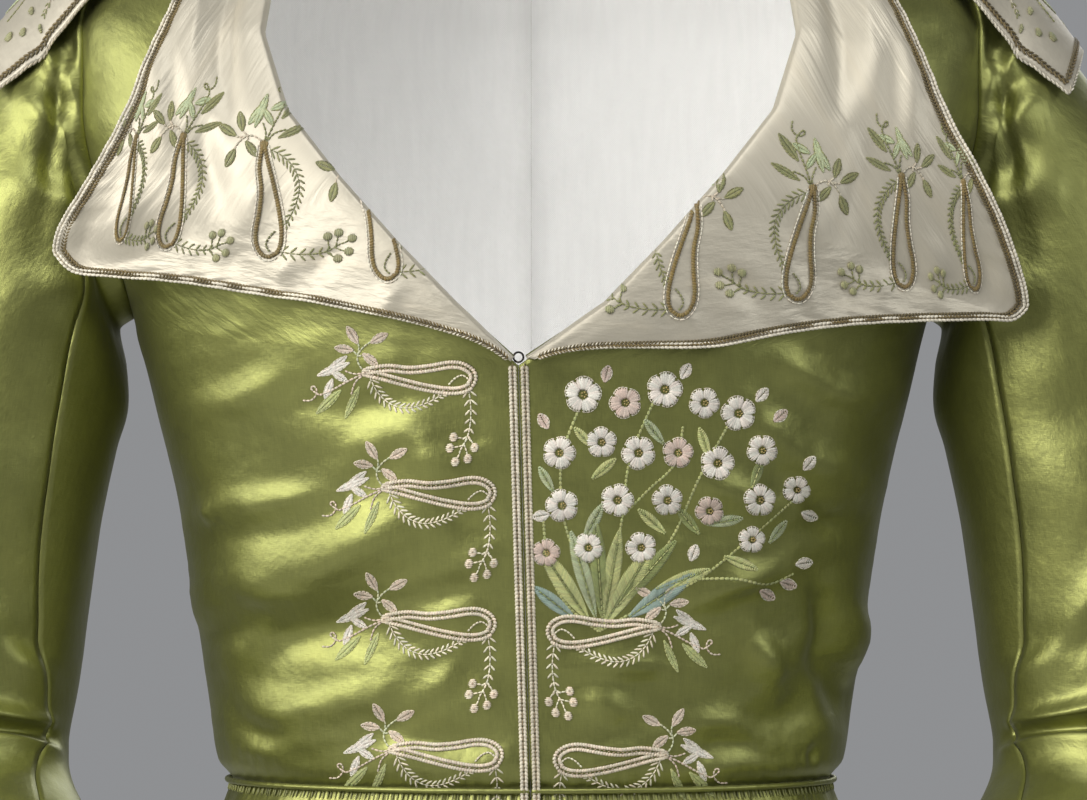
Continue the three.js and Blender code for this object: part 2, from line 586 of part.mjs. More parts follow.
function epauletteAt(along, across) {
  const n = normalOf(epaulette, clamp(along, 0.02, 0.98), clamp(across, -0.97, 0.97));
  return { p: epaulette(along, across).addScaledVector(n, EPAULETTE_LIFT + 1.6), n };
}
for (const [word, side] of SIDES)
  garment.add(wall(`epaulette_${word}`, IVORY, epauletteAt, steps(9), steps(12, -1, 1), side));

// --- skirt ---

const warp = (turn) => turn + 0.06 * Math.sin(3 * turn + 1) + 0.035 * Math.sin(5 * turn + 0.5);
function plainSkirt(turn, z) {
  const around = Math.abs(turn);
  const front = 1 - smoothstep(around, 0.5, 1.2);
  const depth = value(SKIRT, "z", Math.cos(turn) > 0 ? "front" : "back", z);
  const flute = value(SKIRT, "z", "flute", z) * (1 - 0.6 * front) * Math.cos(SKIRT_FOLDS * warp(turn));
  const half = value(SKIRT, "z", "half", z);
  return vec((half + flute) * Math.sin(turn), SIDE_Y - (depth + flute) * Math.cos(turn), z);
}
const parting = (z) => GAP / 2 + HEM_PARTING * (-z / SKIRT_LENGTH) ** 1.3;
const openTurn = (z) => Math.asin(parting(z) / value(SKIRT, "z", "half", z));
// Seams between the gores, as turns from the centre front
const GORES = [["front", 0, 0.8, 12], ["side", 0.8, 1.95, 21], ["back", 1.95, Math.PI, 20]];
const SKIRT_LINES = [-0.4, -18, -60, -165, -330, -560, -790, -1000];
const skirtAt = {};
for (const [word, side] of SIDES)
  for (const [gore, from, to, count] of GORES) {
    const at = (u, z) => {
      const gap = GAP / 2 / value(SKIRT, "z", "half", z);
      const start = from === 0 ? openTurn(z) : from + gap;
      const turn = side * lerp(start, to - gap, u);
      const p = plainSkirt(turn, z);
      const n = normalOf(plainSkirt, turn, clamp(z, -SKIRT_LENGTH + 1, -1));
      return { p: vec(side * p.x, p.y, p.z), n: vec(side * n.x, n.y, n.z) };
    };
    if (gore === "front") skirtAt[word] = at;
    garment.add(wall(`skirt_${gore}_${word}`, SATIN, at, steps(count), SKIRT_LINES, side));
  }

// --- trimmings ---

// A corded seam around the waist, open at the centre front
const pipingTurns = steps(64, -Math.PI + 0.004, Math.PI - 0.004).map((t) => t + Math.PI);
const piping = pipingTurns.map((t) => {
  const turn = t > Math.PI ? 2 * Math.PI - t : t;
  const p = trunk(turn, 0).addScaledVector(trunkNormal(turn, 0).setZ(0).normalize(), PIPING_R + 3 * GAP);
  return t > Math.PI ? vec(-p.x, p.y, -GAP / 2) : vec(p.x, p.y, -GAP / 2);
});
garment.add(tube("waist_piping", SATIN, piping, piping.map((p) => vec(p.x, p.y, 0).normalize()), 2 * PIPING_R, 2 * PIPING_R));

// The wire eye at the top of the hooked edges
const eyeZ = CLOSE_Z + EYE_R + WIRE_R + 2.2 * GAP;
const eyeY = trunk(0, CLOSE_Z).y + CLOTH / 2;
const eyeTurns = steps(16).slice(0, -1).map((t) => 2 * Math.PI * t);
garment.add(tube("closure_eye", WIRE,
  eyeTurns.map((t) => vec(-CLOSE_LEAN + EYE_R * Math.cos(t), eyeY, eyeZ + EYE_R * Math.sin(t))),
  eyeTurns.map(() => vec(0, -1, 0)), 2 * WIRE_R, 2 * WIRE_R, 6, true));

// Flat braid on a surface, a little in from its edge
const BRAID_HIGH = 1.1;
const BRAID_IN = 4.2;
for (const [word, side] of SIDES) {
  // down the hooked edge of the bodice and on down the skirt's front edge
  const trim = [];
  const trimOut = [];
  const alongEdge = (at, column, row, over) => {
    const [edge, next] = [at(0, row), at(column, row)];
    const p = edge.p.clone().lerp(next.p, BRAID_IN / edge.p.distanceTo(next.p));
    const out = edge.n.clone().add(next.n).normalize();
    trim.push(p.addScaledVector(out, BRAID_HIGH / 2 + GAP + over));
    trimOut.push(out);
  };
  for (const row of FRONT_LINES.filter((v) => v <= BREAK).reverse())
    alongEdge(frontAt[word], 1 / 13, row === BREAK ? BREAK * 0.97 : Math.max(row, 0.02), row === 0 ? 3 : 0);
  for (const z of SKIRT_LINES) alongEdge(skirtAt[word], 1 / 12, Math.min(z, -8), z > -1 ? 2 : 0);
  garment.add(tube(`front_braid_${word}`, CORD, mirrored(trim, side), mirrored(trimOut, side), 3.2, BRAID_HIGH, 4));
  // round the lapel and collar
  const onCollar = COLLAR_SHARES.slice(1, -1).map((share) => {
    const [inner, outer] = [collarAt[word](share, COLLAR_LINES.at(-2)), collarAt[word](share, 1)];
    const p = outer.p.clone().lerp(inner.p, BRAID_IN / outer.p.distanceTo(inner.p));
    return { p, n: outer.n.clone().add(inner.n).normalize() };
  });
  const braid = onCollar.map(({ p, n }) => p.clone().addScaledVector(n, BRAID_HIGH / 2 + 2 * GAP));
  garment.add(tube(`collar_braid_${word}`, BROWN, mirrored(braid, side), mirrored(onCollar.map(({ n }) => n), side), 2.8, BRAID_HIGH, 4));
  // round the free edges of the epaulette
  const path = [...steps(9, 0.04, 0.94).map((a) => [a, -0.92]), ...steps(9, -0.92, 0.92).slice(1, -1).map((c) => [0.955, c]),
    ...steps(9, 0.94, 0.04).map((a) => [a, 0.92])];
  const onFlap = path.map(([a, c]) => epauletteAt(a, c));
  const flap = onFlap.map(({ p, n }) => p.clone().addScaledVector(n, BRAID_HIGH / 2 + GAP));
  garment.add(tube(`epaulette_braid_${word}`, BROWN, mirrored(flap, side), mirrored(onFlap.map(({ n }) => n), side), 2.6, BRAID_HIGH, 4));
}

export default garment;
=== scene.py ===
"""A lady's embroidered redingote of green silk satin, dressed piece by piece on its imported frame.

Lengths in the tables are millimetres, with heights measured up from the waist seam; the meshes are in metres.
"""

import json
import math

import bpy
import numpy as np
from bpy.props import (
    FloatProperty,
    FloatVectorProperty,
    IntProperty,
    PointerProperty,
)
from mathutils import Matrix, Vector
from mathutils.bvhtree import BVHTree

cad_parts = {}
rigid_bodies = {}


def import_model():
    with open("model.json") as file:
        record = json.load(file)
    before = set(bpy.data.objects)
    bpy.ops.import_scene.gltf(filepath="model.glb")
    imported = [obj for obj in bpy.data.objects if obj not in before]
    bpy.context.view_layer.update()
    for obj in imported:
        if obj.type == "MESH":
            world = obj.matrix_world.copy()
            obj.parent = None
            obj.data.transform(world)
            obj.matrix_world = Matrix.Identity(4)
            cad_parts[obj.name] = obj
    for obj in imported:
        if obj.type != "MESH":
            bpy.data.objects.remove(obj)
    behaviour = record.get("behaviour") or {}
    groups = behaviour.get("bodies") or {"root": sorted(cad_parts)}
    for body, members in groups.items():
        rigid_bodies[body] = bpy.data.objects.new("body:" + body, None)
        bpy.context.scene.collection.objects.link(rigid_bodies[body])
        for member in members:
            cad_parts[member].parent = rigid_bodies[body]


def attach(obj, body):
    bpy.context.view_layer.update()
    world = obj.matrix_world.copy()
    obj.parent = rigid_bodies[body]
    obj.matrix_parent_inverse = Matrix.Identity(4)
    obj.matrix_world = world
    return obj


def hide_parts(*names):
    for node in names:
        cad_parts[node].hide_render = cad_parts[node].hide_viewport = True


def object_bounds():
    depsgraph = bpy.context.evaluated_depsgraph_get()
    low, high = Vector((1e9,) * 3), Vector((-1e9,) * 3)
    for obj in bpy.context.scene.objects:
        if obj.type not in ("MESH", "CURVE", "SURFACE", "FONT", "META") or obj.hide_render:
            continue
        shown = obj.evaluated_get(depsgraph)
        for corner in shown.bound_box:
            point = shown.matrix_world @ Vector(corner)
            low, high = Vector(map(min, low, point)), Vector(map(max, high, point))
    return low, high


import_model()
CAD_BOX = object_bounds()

bl_info = {
    "name": "Embroidered redingote",
    "version": (1, 0, 0),
    "blender": (4, 5, 0),
    "location": "3D View > Sidebar > Redingote",
    "description": "Makes the cloth, braid and embroidery of a satin redingote on its frame",
    "category": "Object",
}

# --- the garment's pattern, as the frame has it ---

CLOTH = 1.6  # thickness of satin and backing
GAP = 0.4  # between neighbouring pieces
NECK_Z = 385  # height of the neck point, where the frame has its zero
TIP_Z = 328  # height of the shoulder tip
SIDE_Y = 4  # depth of the side seam
CLOSE_Z = 163  # height of the closure
CLOSE_LEAN = 4.5  # how far the closing edge leans by there
ARMPIT_Z = 184
ARMHOLE_FORE, ARMHOLE_AFT = 38, 56
SKIRT_LENGTH = 1000
HEM_PARTING = 24  # half of the opening at the hem
SKIRT_FOLDS = 20
PIPING_R = 1.2
BREAK = 0.42  # share of a front's or back's height where its lower part ends
BACK_NECK_Z, BACK_NECK_AT = 377, 0.42
LAPEL_SPREAD = 88  # from here outwards the lapel lies straight
LAPEL_LIFT = 5
COLLAR_STAND = 22
POINT_ROW = 8  # row of the lapel's point in its edge
FOLD_R = 2.6
POINT_AT, SHOULDER_AT = 0.24, 0.72  # shares along the collar
STAND_SHARE = 0.2
EPAULETTE_LIFT = 5.8
BRAID_IN, RIM_IN = 4.2, 0.9  # from the collar's edge to its braid and to its cord
FRONT_BRAID_IN = 2.1
BACK_SEAM = math.radians(290)
SEAM_TURN = 0.75 * GAP / 45
NUDGE = 1e-3
CREASE_GAIN = {"left": 2.1, "right": 1.7}
FOLD_TILT = {"left": -0.12, "right": 0.42}  # how steeply small folds climb to the edge
COLLAR_GAIN = 2.1

SIDES = (("left", 1), ("right", -1))  # the wearer's left and right


def table(columns, rows):
    values = np.array(rows, float)
    return {name: values[:, i] for i, name in enumerate(columns)}


TRUNK = table(
    ("z", "half", "front", "back", "round"),
    [
        (0, 118, 86, 78, 2.0), (8, 124, 90, 82, 2.0), (30, 127.5, 93, 84, 2.0), (60, 132, 99, 87, 2.0),
        (110, 140, 112, 93, 2.1), (150, 149.5, 120, 98, 2.2), (188, 159, 124, 103, 2.25),
        (225, 172, 119, 106, 2.35), (265, 182, 106, 106, 2.4), (295, 182.5, 90, 102, 2.4),
        (316, 175, 74, 93, 2.3), (328, 168, 63, 86, 2.2), (356, 124, 40, 69, 2.0), (385, 78, 17, 53, 2.0),
    ],
)
SKIRT = table(
    ("z", "half", "front", "back", "flute"),
    [
        (-1000, 360, 246, 360, 19), (-700, 300, 202, 300, 14), (-450, 246, 162, 240, 9.5),
        (-280, 208, 134, 196, 6.5), (-165, 176, 114, 160, 4.2), (-100, 153, 103, 134, 3),
        (-60, 140, 97, 114, 2), (-30, 130, 92, 96, 1.1), (-8, 121, 88, 82, 0.5), (0, 118, 86, 78, 0.3),
    ],
)
NECKLINE = np.array([
    (5, 163), (15, 172), (28, 184), (42, 198), (57, 214), (72, 231), (85, 247), (96, 262), (103, 279),
    (104, 300), (99, 326), (90, 355), (78, 385),
], float)
LAPEL_EDGE = {
    "left": np.array([
        (7, 163.5), (36, 167), (66, 170), (96, 176), (124, 179.5), (152, 181), (176, 181.5), (188, 181.5),
        (192.5, 186), (190, 197), (182, 218), (172, 238), (161, 258), (151, 282), (141, 304), (126, 331),
        (118, 346),
    ], float),
    "right": np.array([
        (9, 161), (22, 171), (44, 179), (74, 186.5), (106, 191.5), (136, 196), (160, 198), (177, 200),
        (184, 207), (181, 217), (172, 231), (162, 248), (154, 264), (147, 282), (137, 304), (126, 331),
        (118, 346),
    ], float),
}
COLLAR_BEHIND = np.array([(112, 363), (102, 361), (82, 354), (56, 347), (28, 341), (0.4, 339)], float)
SLEEVE = table(
    ("x", "y", "z", "lift", "bend", "side", "fore", "aft", "ease"),
    [
        (175, 3, 248, 81.8, 0, 70.5, 36, 55, 7), (180, 3, 234, 76.2, 0, 73, 40, 56, 6),
        (187.5, 3, 215.5, 69.9, 0, 74, 45.5, 57, 4), (201, 3, 191, 60.2, 0, 70.3, 50, 57, 1),
        (213.5, 3, 155.5, 51.7, 0, 66.9, 53, 56, 0), (222.5, 4, 117.5, 42.4, 0, 63, 53, 54, 0),
        (228.5, 4, 77.5, 29.6, 0, 55.8, 52, 53, 0), (232, 3, 40, 13.8, 4, 50.4, 51, 52, 0),
        (234, 1, 12, -1, 14, 49, 50, 51, 0), (229, -13, -13, -14, 27, 48, 49, 50, 0),
        (207, -45, -46, -26, 38, 46, 46, 46, 0), (181, -82, -84, -28, 39, 42.5, 42.5, 42.5, 0),
        (155, -118, -121, -28, 39, 39, 39, 39, 0), (131, -151, -156, -28, 39, 36, 36, 36, 0),
    ],
)
RINGS = len(SLEEVE["x"])
FRONT_SEAM = table(
    ("ring", "turn"),
    [(0, 64), (2, 66), (3, 63), (4, 58), (5, 53), (6, 50), (7, 44), (8, 34), (9, 28), (10, 34), (11, 46),
    (14, 54)],
)
# Where the flap crosses the shoulder: x on the trunk or ring on the sleeve, reach before and behind
EPAULETTE = [
    (128, 0, 38, 40), (143, 0, 42, 44), (159, 0, 45, 46), (0, 0.9, 45, 46), (0, 2, 43, 44), (0, 3, 37, 38),
]

# Creases as from-point, to-point, width and depth, with a negative depth for a ridge. The points are x and
# height, or turn in degrees and ring on a sleeve.
FRONT_CREASES = {
    "left": [
        (118, 48, 66, 12, 14, 1.6), (64, 74, 98, 83, 8, -2.2), (84, 60, 97, 38, 8, -2.0),
        (11, 47, 53, 46, 6, -1.3), (20, 35, 36, 31, 8, -1.4), (112, 78, 115, 48, 8, 2.8),
        (115, 50, 123, 26, 8, 2.6), (126, 70, 129, 44, 9, -2.2), (108, 10, 113, 9, 6, 2.0),
        (60, 84, 14, 64, 10, 1.2), (62, 26, 92, 19, 7, -1.5), (100, 108, 62, 124, 9, -1.6),
        (128, 118, 84, 146, 10, -1.8), (124, 98, 106, 112, 7, 1.8), (46, 20, 12, 14, 6, -1.0),
        (76, 100, 40, 108, 8, 1.2), (130, 150, 96, 166, 8, -1.6), (70, 8, 96, 5, 5, -1.0),
    ],
    "right": [
        (124, 106, 62, 128, 10, -2.2), (122, 78, 44, 106, 20, -4.3), (112, 80, 92, 76, 8, -1.0),
        (116, 30, 62, 34, 14, -2.5), (60, 36, 91, 28, 8, -1.0), (114, 13, 88, 16, 8, -1.8),
        (124, 48, 98, 64, 9, -1.6), (128, 106, 122, 108, 5, -1.2), (46, 136, 24, 120, 11, -1.7),
        (52, 12, 6, 8, 8, -1.5), (44, 35, 27, 51, 7, -1.3), (57, 66, 23, 72, 6, -1.2),
        (104, 118, 50, 128, 8, 1.0), (116, 58, 30, 73, 13, 2.4), (122, 36, 84, 10, 8, 1.2),
        (60, 24, 12, 20, 9, 1.2), (128, 148, 92, 160, 9, -1.2), (84, 146, 46, 152, 10, 1.2),
        (34, 84, 16, 92, 7, -1.1), (30, 104, 12, 100, 6, 0.9),
    ],
}
BACK_CREASES = [
    (118, 30, 52, 58, 13, 2.0), (120, 96, 70, 74, 12, -2.0), (60, 40, 20, 24, 10, 1.4),
    (96, 150, 60, 128, 12, -1.6), (30, 180, 24, 120, 12, 1.2), (110, 12, 60, 10, 7, -1.3),
    (84, 214, 66, 176, 12, 1.6),
]
SLEEVE_CREASES = [
    (88, 0.3, 128, 2.6, 9, 5), (72, 0.9, 112, 3.3, 8, 4), (104, 0.2, 146, 2.1, 8, 4.5),
    (56, 1.4, 92, 4.2, 10, 4), (118, 0.5, 92, 3.2, 11, -3.5), (30, 8.5, 118, 8.1, 9, 5),
    (24, 9.6, 128, 9.3, 10, 5.5), (36, 7.6, 96, 6.6, 10, 3.2), (28, 9.05, 120, 8.7, 9, -4),
    (96, 0.3, 118, 1.7, 8, -1.4), (112, 0.25, 150, 1.5, 8, -1.4), (66, 1.0, 82, 2.6, 8, 1.4),
    (128, 0.3, 160, 1.4, 8, 1.4), (60, 4.6, 108, 5.4, 12, -2.4), (70, 5.6, 120, 6.6, 12, 2.2),
    (40, 7.1, 112, 7.3, 9, -2.8), (26, 10.2, 110, 10.2, 10, -3), (200, 8.0, 250, 9.2, 10, 2.5),
    (190, 9.4, 262, 9.9, 10, -2.5), (50, 11.2, 130, 10.9, 9, 2.4), (60, 12.4, 140, 12.8, 9, -1.8),
    (210, 1.0, 240, 4.2, 12, 2.5), (236, 0.6, 262, 3.4, 12, -2.2),
]
COLLAR_CREASES = {
    "left": [
        (124, 330, 132, 268, 9, -1.8), (112, 318, 118, 262, 7, 1.4), (140, 296, 146, 250, 7, -1.4),
        (128, 250, 120, 214, 8, 1.0), (96, 236, 112, 206, 8, -1.3), (70, 200, 88, 186, 7, 1.0),
        (150, 214, 158, 192, 7, -1.2), (172, 206, 178, 190, 5, 1.0), (52, 190, 62, 178, 5, -0.8),
        (104, 196, 108, 184, 4, -0.8), (118, 196, 121, 186, 4, 0.7), (134, 200, 136, 187, 4, -0.7),
    ],
    "right": [
        (124, 330, 130, 262, 8, -1.8), (112, 322, 114, 256, 7, 1.6), (138, 300, 141, 244, 7, -1.6),
        (126, 256, 116, 222, 8, 1.2), (98, 240, 110, 212, 8, -1.4), (70, 212, 84, 194, 7, 1.1),
        (152, 230, 158, 204, 7, -1.3), (168, 224, 172, 206, 5, 1.1), (46, 196, 56, 184, 5, -0.8),
        (92, 204, 95, 194, 4, -0.8), (112, 208, 115, 197, 4, 0.7), (128, 212, 130, 200, 4, -0.7),
    ],
}

# --- smooth values and curves ---


def smooth(rows, key, column, at):
    """A value from a table by a key that rises, with no overshoot between rows."""
    xs, ys = rows[key], rows[column]
    at = np.asarray(at, float)
    step = np.diff(xs)
    slope = np.diff(ys) / step
    inner = slope[:-1] * slope[1:]
    total = slope[:-1] + slope[1:]
    middle = np.where(inner > 0, 2 * inner / np.where(np.abs(total) < 1e-12, 1, total), 0.0)
    tangent = np.concatenate([[slope[0]], middle, [slope[-1]]])
    i = np.clip(np.searchsorted(xs, at, side="right") - 1, 0, len(xs) - 2)
    t = np.clip((at - xs[i]) / step[i], 0, 1)
    t2, t3 = t * t, t**3
    return (
        (2 * t3 - 3 * t2 + 1) * ys[i]
        + (t3 - 2 * t2 + t) * step[i] * tangent[i]
        + (3 * t2 - 2 * t3) * ys[i + 1]
        + (t3 - t2) * step[i] * tangent[i + 1]
    )


def spline(points, at):
    """A smooth curve through points at row numbers with a fraction. Points may differ from place to place."""
    n = len(points)
    at = np.asarray(at, float)
    i = np.clip(np.floor(at).astype(int), 0, n - 2)
    t = (at - i)[..., None]
    where = tuple(np.indices(i.shape)) if points.ndim > 2 else ()

    def row(k):
        return points[(np.clip(k, 0, n - 1), *where)]

    a, b, c, d = row(i - 1), row(i), row(i + 1), row(i + 2)
    return 0.5 * (2 * b + (c - a) * t + (2 * a - 5 * b + 4 * c - d) * t * t + (3 * b - a - 3 * c + d) * t**3)


def spacing(points):
    steps = np.linalg.norm(np.diff(points, axis=0), axis=-1)
    return np.concatenate([[0], np.cumsum(steps)])


def along_rows(at, places, rows):
    """Vectors between rows that stand at given places."""
    return np.stack([np.interp(at, places, rows[:, k]) for k in range(3)], -1)


def through(points, t):
    """A point of a smooth curve through points, at 0 to 1 by the points' own spacing."""
    lengths = spacing(points)
    at = np.clip(np.asarray(t, float), 0, 1) * lengths[-1]
    j = np.clip(np.searchsorted(lengths, at, side="right") - 1, 0, len(points) - 2)
    return spline(points, j + (at - lengths[j]) / (lengths[j + 1] - lengths[j]))


def ease(x, low, high):
    t = np.clip((np.asarray(x, float) - low) / (high - low), 0, 1)
    return t * t * (3 - 2 * t)


def lerp(a, b, t):
    return a + (b - a) * t


def unit(v):
    return v / np.maximum(np.linalg.norm(v, axis=-1, keepdims=True), 1e-12)


def dot(a, b):
    return np.sum(a * b, axis=-1, keepdims=True)


def stack(x, y, z):
    return np.stack(np.broadcast_arrays(np.asarray(x, float), y, z), axis=-1)


def normal_of(surface, a, b, nudge=NUDGE):
    across = surface(a + nudge, b) - surface(a - nudge, b)
    along = surface(a, b + nudge) - surface(a, b - nudge)
    return unit(np.cross(across, along))


def crease(a, b, rows):
    """How far creases push a surface in at a point of a flat chart."""
    push = np.zeros(np.broadcast(a, b).shape)
    for a0, b0, a1, b1, width, depth in rows:
        da, db = a1 - a0, b1 - b0
        t = np.clip(((a - a0) * da + (b - b0) * db) / (da * da + db * db), 0, 1)
        bow = 0.06 * math.hypot(da, db) * np.sin(np.pi * t)  # a crease is never quite straight
        long = math.hypot(da, db)
        off = np.hypot(a - a0 - t * da + bow * db / long, b - b0 - t * db - bow * da / long)
        push = push + depth * np.exp(-2 * (off / width) ** 2) * np.sin(np.pi * np.clip(0.12 + 0.76 * t, 0, 1))
    return push


def wander(a, b, size, seed):
    """A soft uneven rise and fall between about -1 and 1, with waves of roughly a given size."""
    rng = np.random.default_rng(seed)
    total = np.zeros(np.broadcast(a, b).shape)
    for _ in range(9):
        turn, phase = rng.uniform(0, 2 * np.pi, 2)
        wave = 2 * np.pi / (size * rng.uniform(0.6, 1.9))
        total = total + np.sin(wave * (a * math.cos(turn) + b * math.sin(turn))
            + phase) * rng.uniform(0.4, 1.0)
    return total / 4.2


# --- the trunk ---


def half_width(z):
    return smooth(TRUNK, "z", "half", z)


def roundness(z):
    return smooth(TRUNK, "z", "round", z)


def depth_at(rows, fore, z):
    """How far the trunk or the skirt reaches before or behind its middle."""
    return np.where(fore, smooth(rows, "z", "front", z), smooth(rows, "z", "back", z))


def trunk(turn, z):
    power = 2 / roundness(z)
    s, c = np.sin(turn), np.cos(turn)
    depth = depth_at(TRUNK, c > 0, z)
    return stack(
        np.sign(s) * half_width(z) * np.abs(s) ** power, SIDE_Y - depth * np.abs(c) ** power * np.sign(c), z
    )


def trunk_normal(turn, z):
    return normal_of(trunk, np.clip(turn, NUDGE * 2, np.pi - NUDGE * 2), z)


def either_normal(turn, z):
    """The trunk's normal where a front may pass the middle, so that turns can be negative."""
    return trunk_normal(np.abs(turn), z) * stack(np.sign(turn) + (turn == 0), 1, 1)


def turn_at_x(x, z):
    return np.arcsin(np.clip(x / half_width(z), 0, 1) ** (roundness(z) / 2))


def turn_at_y(y, z):
    y = np.asarray(y, float)
    fore = y < SIDE_Y
    c = np.clip(np.abs(y - SIDE_Y) / depth_at(TRUNK, fore, z), 0, 1) ** (roundness(z) / 2)
    return np.where(fore, np.arccos(c), np.pi - np.arccos(c))


def armhole(turn):
    """The armhole's turn and height: 0 at the armpit, a quarter at the front, a half at the shoulder tip."""
    reach = np.where(np.sin(turn) > 0, ARMHOLE_FORE, ARMHOLE_AFT)
    z = lerp(ARMPIT_Z, TIP_Z, (1 - np.cos(turn)) / 2)
    y = SIDE_Y - reach * np.sin(turn)
    near = np.abs(y - SIDE_Y) < GAP / 2
    y = np.where(near, SIDE_Y - (GAP / 2) * np.where(np.sin(turn) >= 0, 1, -1), y)
    return turn_at_y(y, z), z


def patch(left, right, bottom, top, u, v):
    """The trunk's turn and height over a panel, filled in between its four edges."""
    out = []
    for k in (0, 1):
        sides = lerp(left(v)[k], right(v)[k], u) + lerp(bottom(u)[k], top(u)[k], v)
        corners = lerp(lerp(bottom(0.0)[k], bottom(1.0)[k], u), lerp(top(0.0)[k], top(1.0)[k], u), v)
        out.append(sides - corners)
    return out


def panel_side(v, y, start, sweep):
    """The edge of a front or a back that runs up the side seam and then round its part of the armhole."""
    low = ARMPIT_Z * np.minimum(v, BREAK) / BREAK
    hole = armhole(start + sweep * np.clip((v - BREAK) / (1 - BREAK), 0, 1))
    below = v <= BREAK
    return np.where(below, turn_at_y(y, low), hole[0]), np.where(below, low, hole[1])


def hooked_x(z, side):
    return GAP / 2 - side * CLOSE_LEAN * np.clip(z / CLOSE_Z, 0, 1)


def front_patch(side, u, v):
    neck = stack(NECKLINE[:, 0], 0, NECKLINE[:, 1])

    def seam_turn(z):
        return turn_at_y(SIDE_Y - GAP / 2, z)

    def signed(x, z):
        return np.sign(x) * turn_at_x(np.abs(x), z)

    def left(v):
        low = CLOSE_Z * np.minimum(v, BREAK) / BREAK
        t = np.clip((v - BREAK) / (1 - BREAK), 0, 1)
        p = through(neck, t)
        lean = (hooked_x(CLOSE_Z, side) - NECKLINE[0, 0]) * (1 - ease(t, 0, 0.12))
        high = np.minimum(signed(p[..., 0] + lean, p[..., 2]), seam_turn(p[..., 2]))
        below = v <= BREAK
        return np.where(below, signed(hooked_x(low, side), low), high), np.where(below, low, p[..., 2])

    def right(v):
        return panel_side(v, SIDE_Y - GAP / 2, 0, np.pi)

    def bottom(u):
        return lerp(left(np.array(0.0))[0], right(np.array(0.0))[0], u), 0.0 * np.asarray(u)

    def top(u):
        z = lerp(NECK_Z, TIP_Z, u)
        return seam_turn(z), z

    return patch(left, right, bottom, top, u, v)


def back_patch(u, v):
    def seam_turn(z):
        return turn_at_y(SIDE_Y + GAP / 2, z)

    def middle(z):
        return np.pi - turn_at_x(0.02, z)

    def left(v):
        z = BACK_NECK_Z * np.asarray(v)
        return middle(z), z

    def right(v):
        return panel_side(v, SIDE_Y + GAP / 2, 2 * np.pi, -np.pi)

    def bottom(u):
        return lerp(left(0.0)[0], right(0.0)[0], u), 0.0 * np.asarray(u)

    def top(u):
        u = np.asarray(u)
        t = np.clip(u / BACK_NECK_AT, 0, 1)
        near = lerp(BACK_NECK_Z, NECK_Z, t * t)
        far = lerp(NECK_Z, TIP_Z, np.clip((u - BACK_NECK_AT) / (1 - BACK_NECK_AT), 0, 1))
        inside = u < BACK_NECK_AT
        z = np.where(inside, near, far)
        return np.where(inside, lerp(middle(near), seam_turn(near), t), seam_turn(far)), z

    return patch(left, right, bottom, top, u, v)


def front_surface(word, u, v):
    """Points and outward normals of a bodice front, drawn for the wearer's left."""
    side = dict(SIDES)[word]
    turn, z = np.broadcast_arrays(*front_patch(side, u, v))
    p, n = trunk(turn, z), either_normal(turn, z)
    x, tilt = p[..., 0], FOLD_TILT[word]
    calm = ease(u, 0, 0.06) * ease(1 - u, 0, 0.1) * ease(v, 0, 0.05)
    rough = wander(x, z * 1.5, 34, 3 + side) * 1.1 + wander(x, z * 1.6, 15, 11 + side) * 0.26
    rough = rough + wander(x * 0.45, z * 1.3, 11, 17 + side) * 0.17
    rough = rough + wander((tilt * z - x) * 0.35, (tilt * x + z) * 1.2, 24, 29 + side) * 0.5
    waist = np.exp(-z / 9) * np.sin(x * 1.1 + 2 * np.sin(x * 0.23)) * 0.28 * ease(u, 0, 0.06)
    edge = np.exp(-u * 24) * (z < CLOSE_Z) * np.sin(z * 0.9 + 1.6 * np.sin(z * 0.17)) * 0.22
    push = calm * (CREASE_GAIN[word] * crease(x, z, FRONT_CREASES[word]) + rough) + waist + edge
    return p - n * push[..., None], n


def back_surface(u, v):
    turn, z = np.broadcast_arrays(*back_patch(u, v))
    p, n = trunk(turn, z), trunk_normal(turn, z)
    calm = ease(u, 0, 0.1) * ease(1 - u, 0, 0.1) * ease(v, 0, 0.06) * ease(1 - v, 0, 0.06)
    push = calm * (crease(p[..., 0], z, BACK_CREASES) + wander(p[..., 0], z, 34, 5) * 0.4)
    return p - n * push[..., None], n


# --- sleeves ---


def plain_sleeve(turn, ring):
    turn, ring = np.broadcast_arrays(np.asarray(turn, float), np.asarray(ring, float))
    hole = armhole(np.mod(turn, 2 * np.pi))
    rows = [trunk(*hole) + trunk_normal(*hole) * 0.2]
    for k in range(RINGS):
        r = {name: SLEEVE[name][k] for name in SLEEVE}
        lift, bend = math.radians(r["lift"]), math.radians(r["bend"])
        out = np.array([math.cos(lift), 0, math.sin(lift)])
        down = np.array([math.sin(lift), 0, -math.cos(lift)])
        forward = np.array([0, -math.cos(bend), 0]) - down * math.sin(bend)
        reach = np.where(np.sin(turn) > 0, r["fore"], r["aft"])
        rows.append(
            np.array([r["x"], r["y"], r["z"]])
            - out * (np.cos(turn) * r["side"])[..., None]
            + forward * (np.sin(turn) * reach)[..., None]
            + down * (r["ease"] * np.sin(turn) ** 2)[..., None]
        )
    return spline(np.stack(rows), ring)


def sleeve_chart(turn, ring):
    return np.degrees(turn) * 0.9, ring * 26


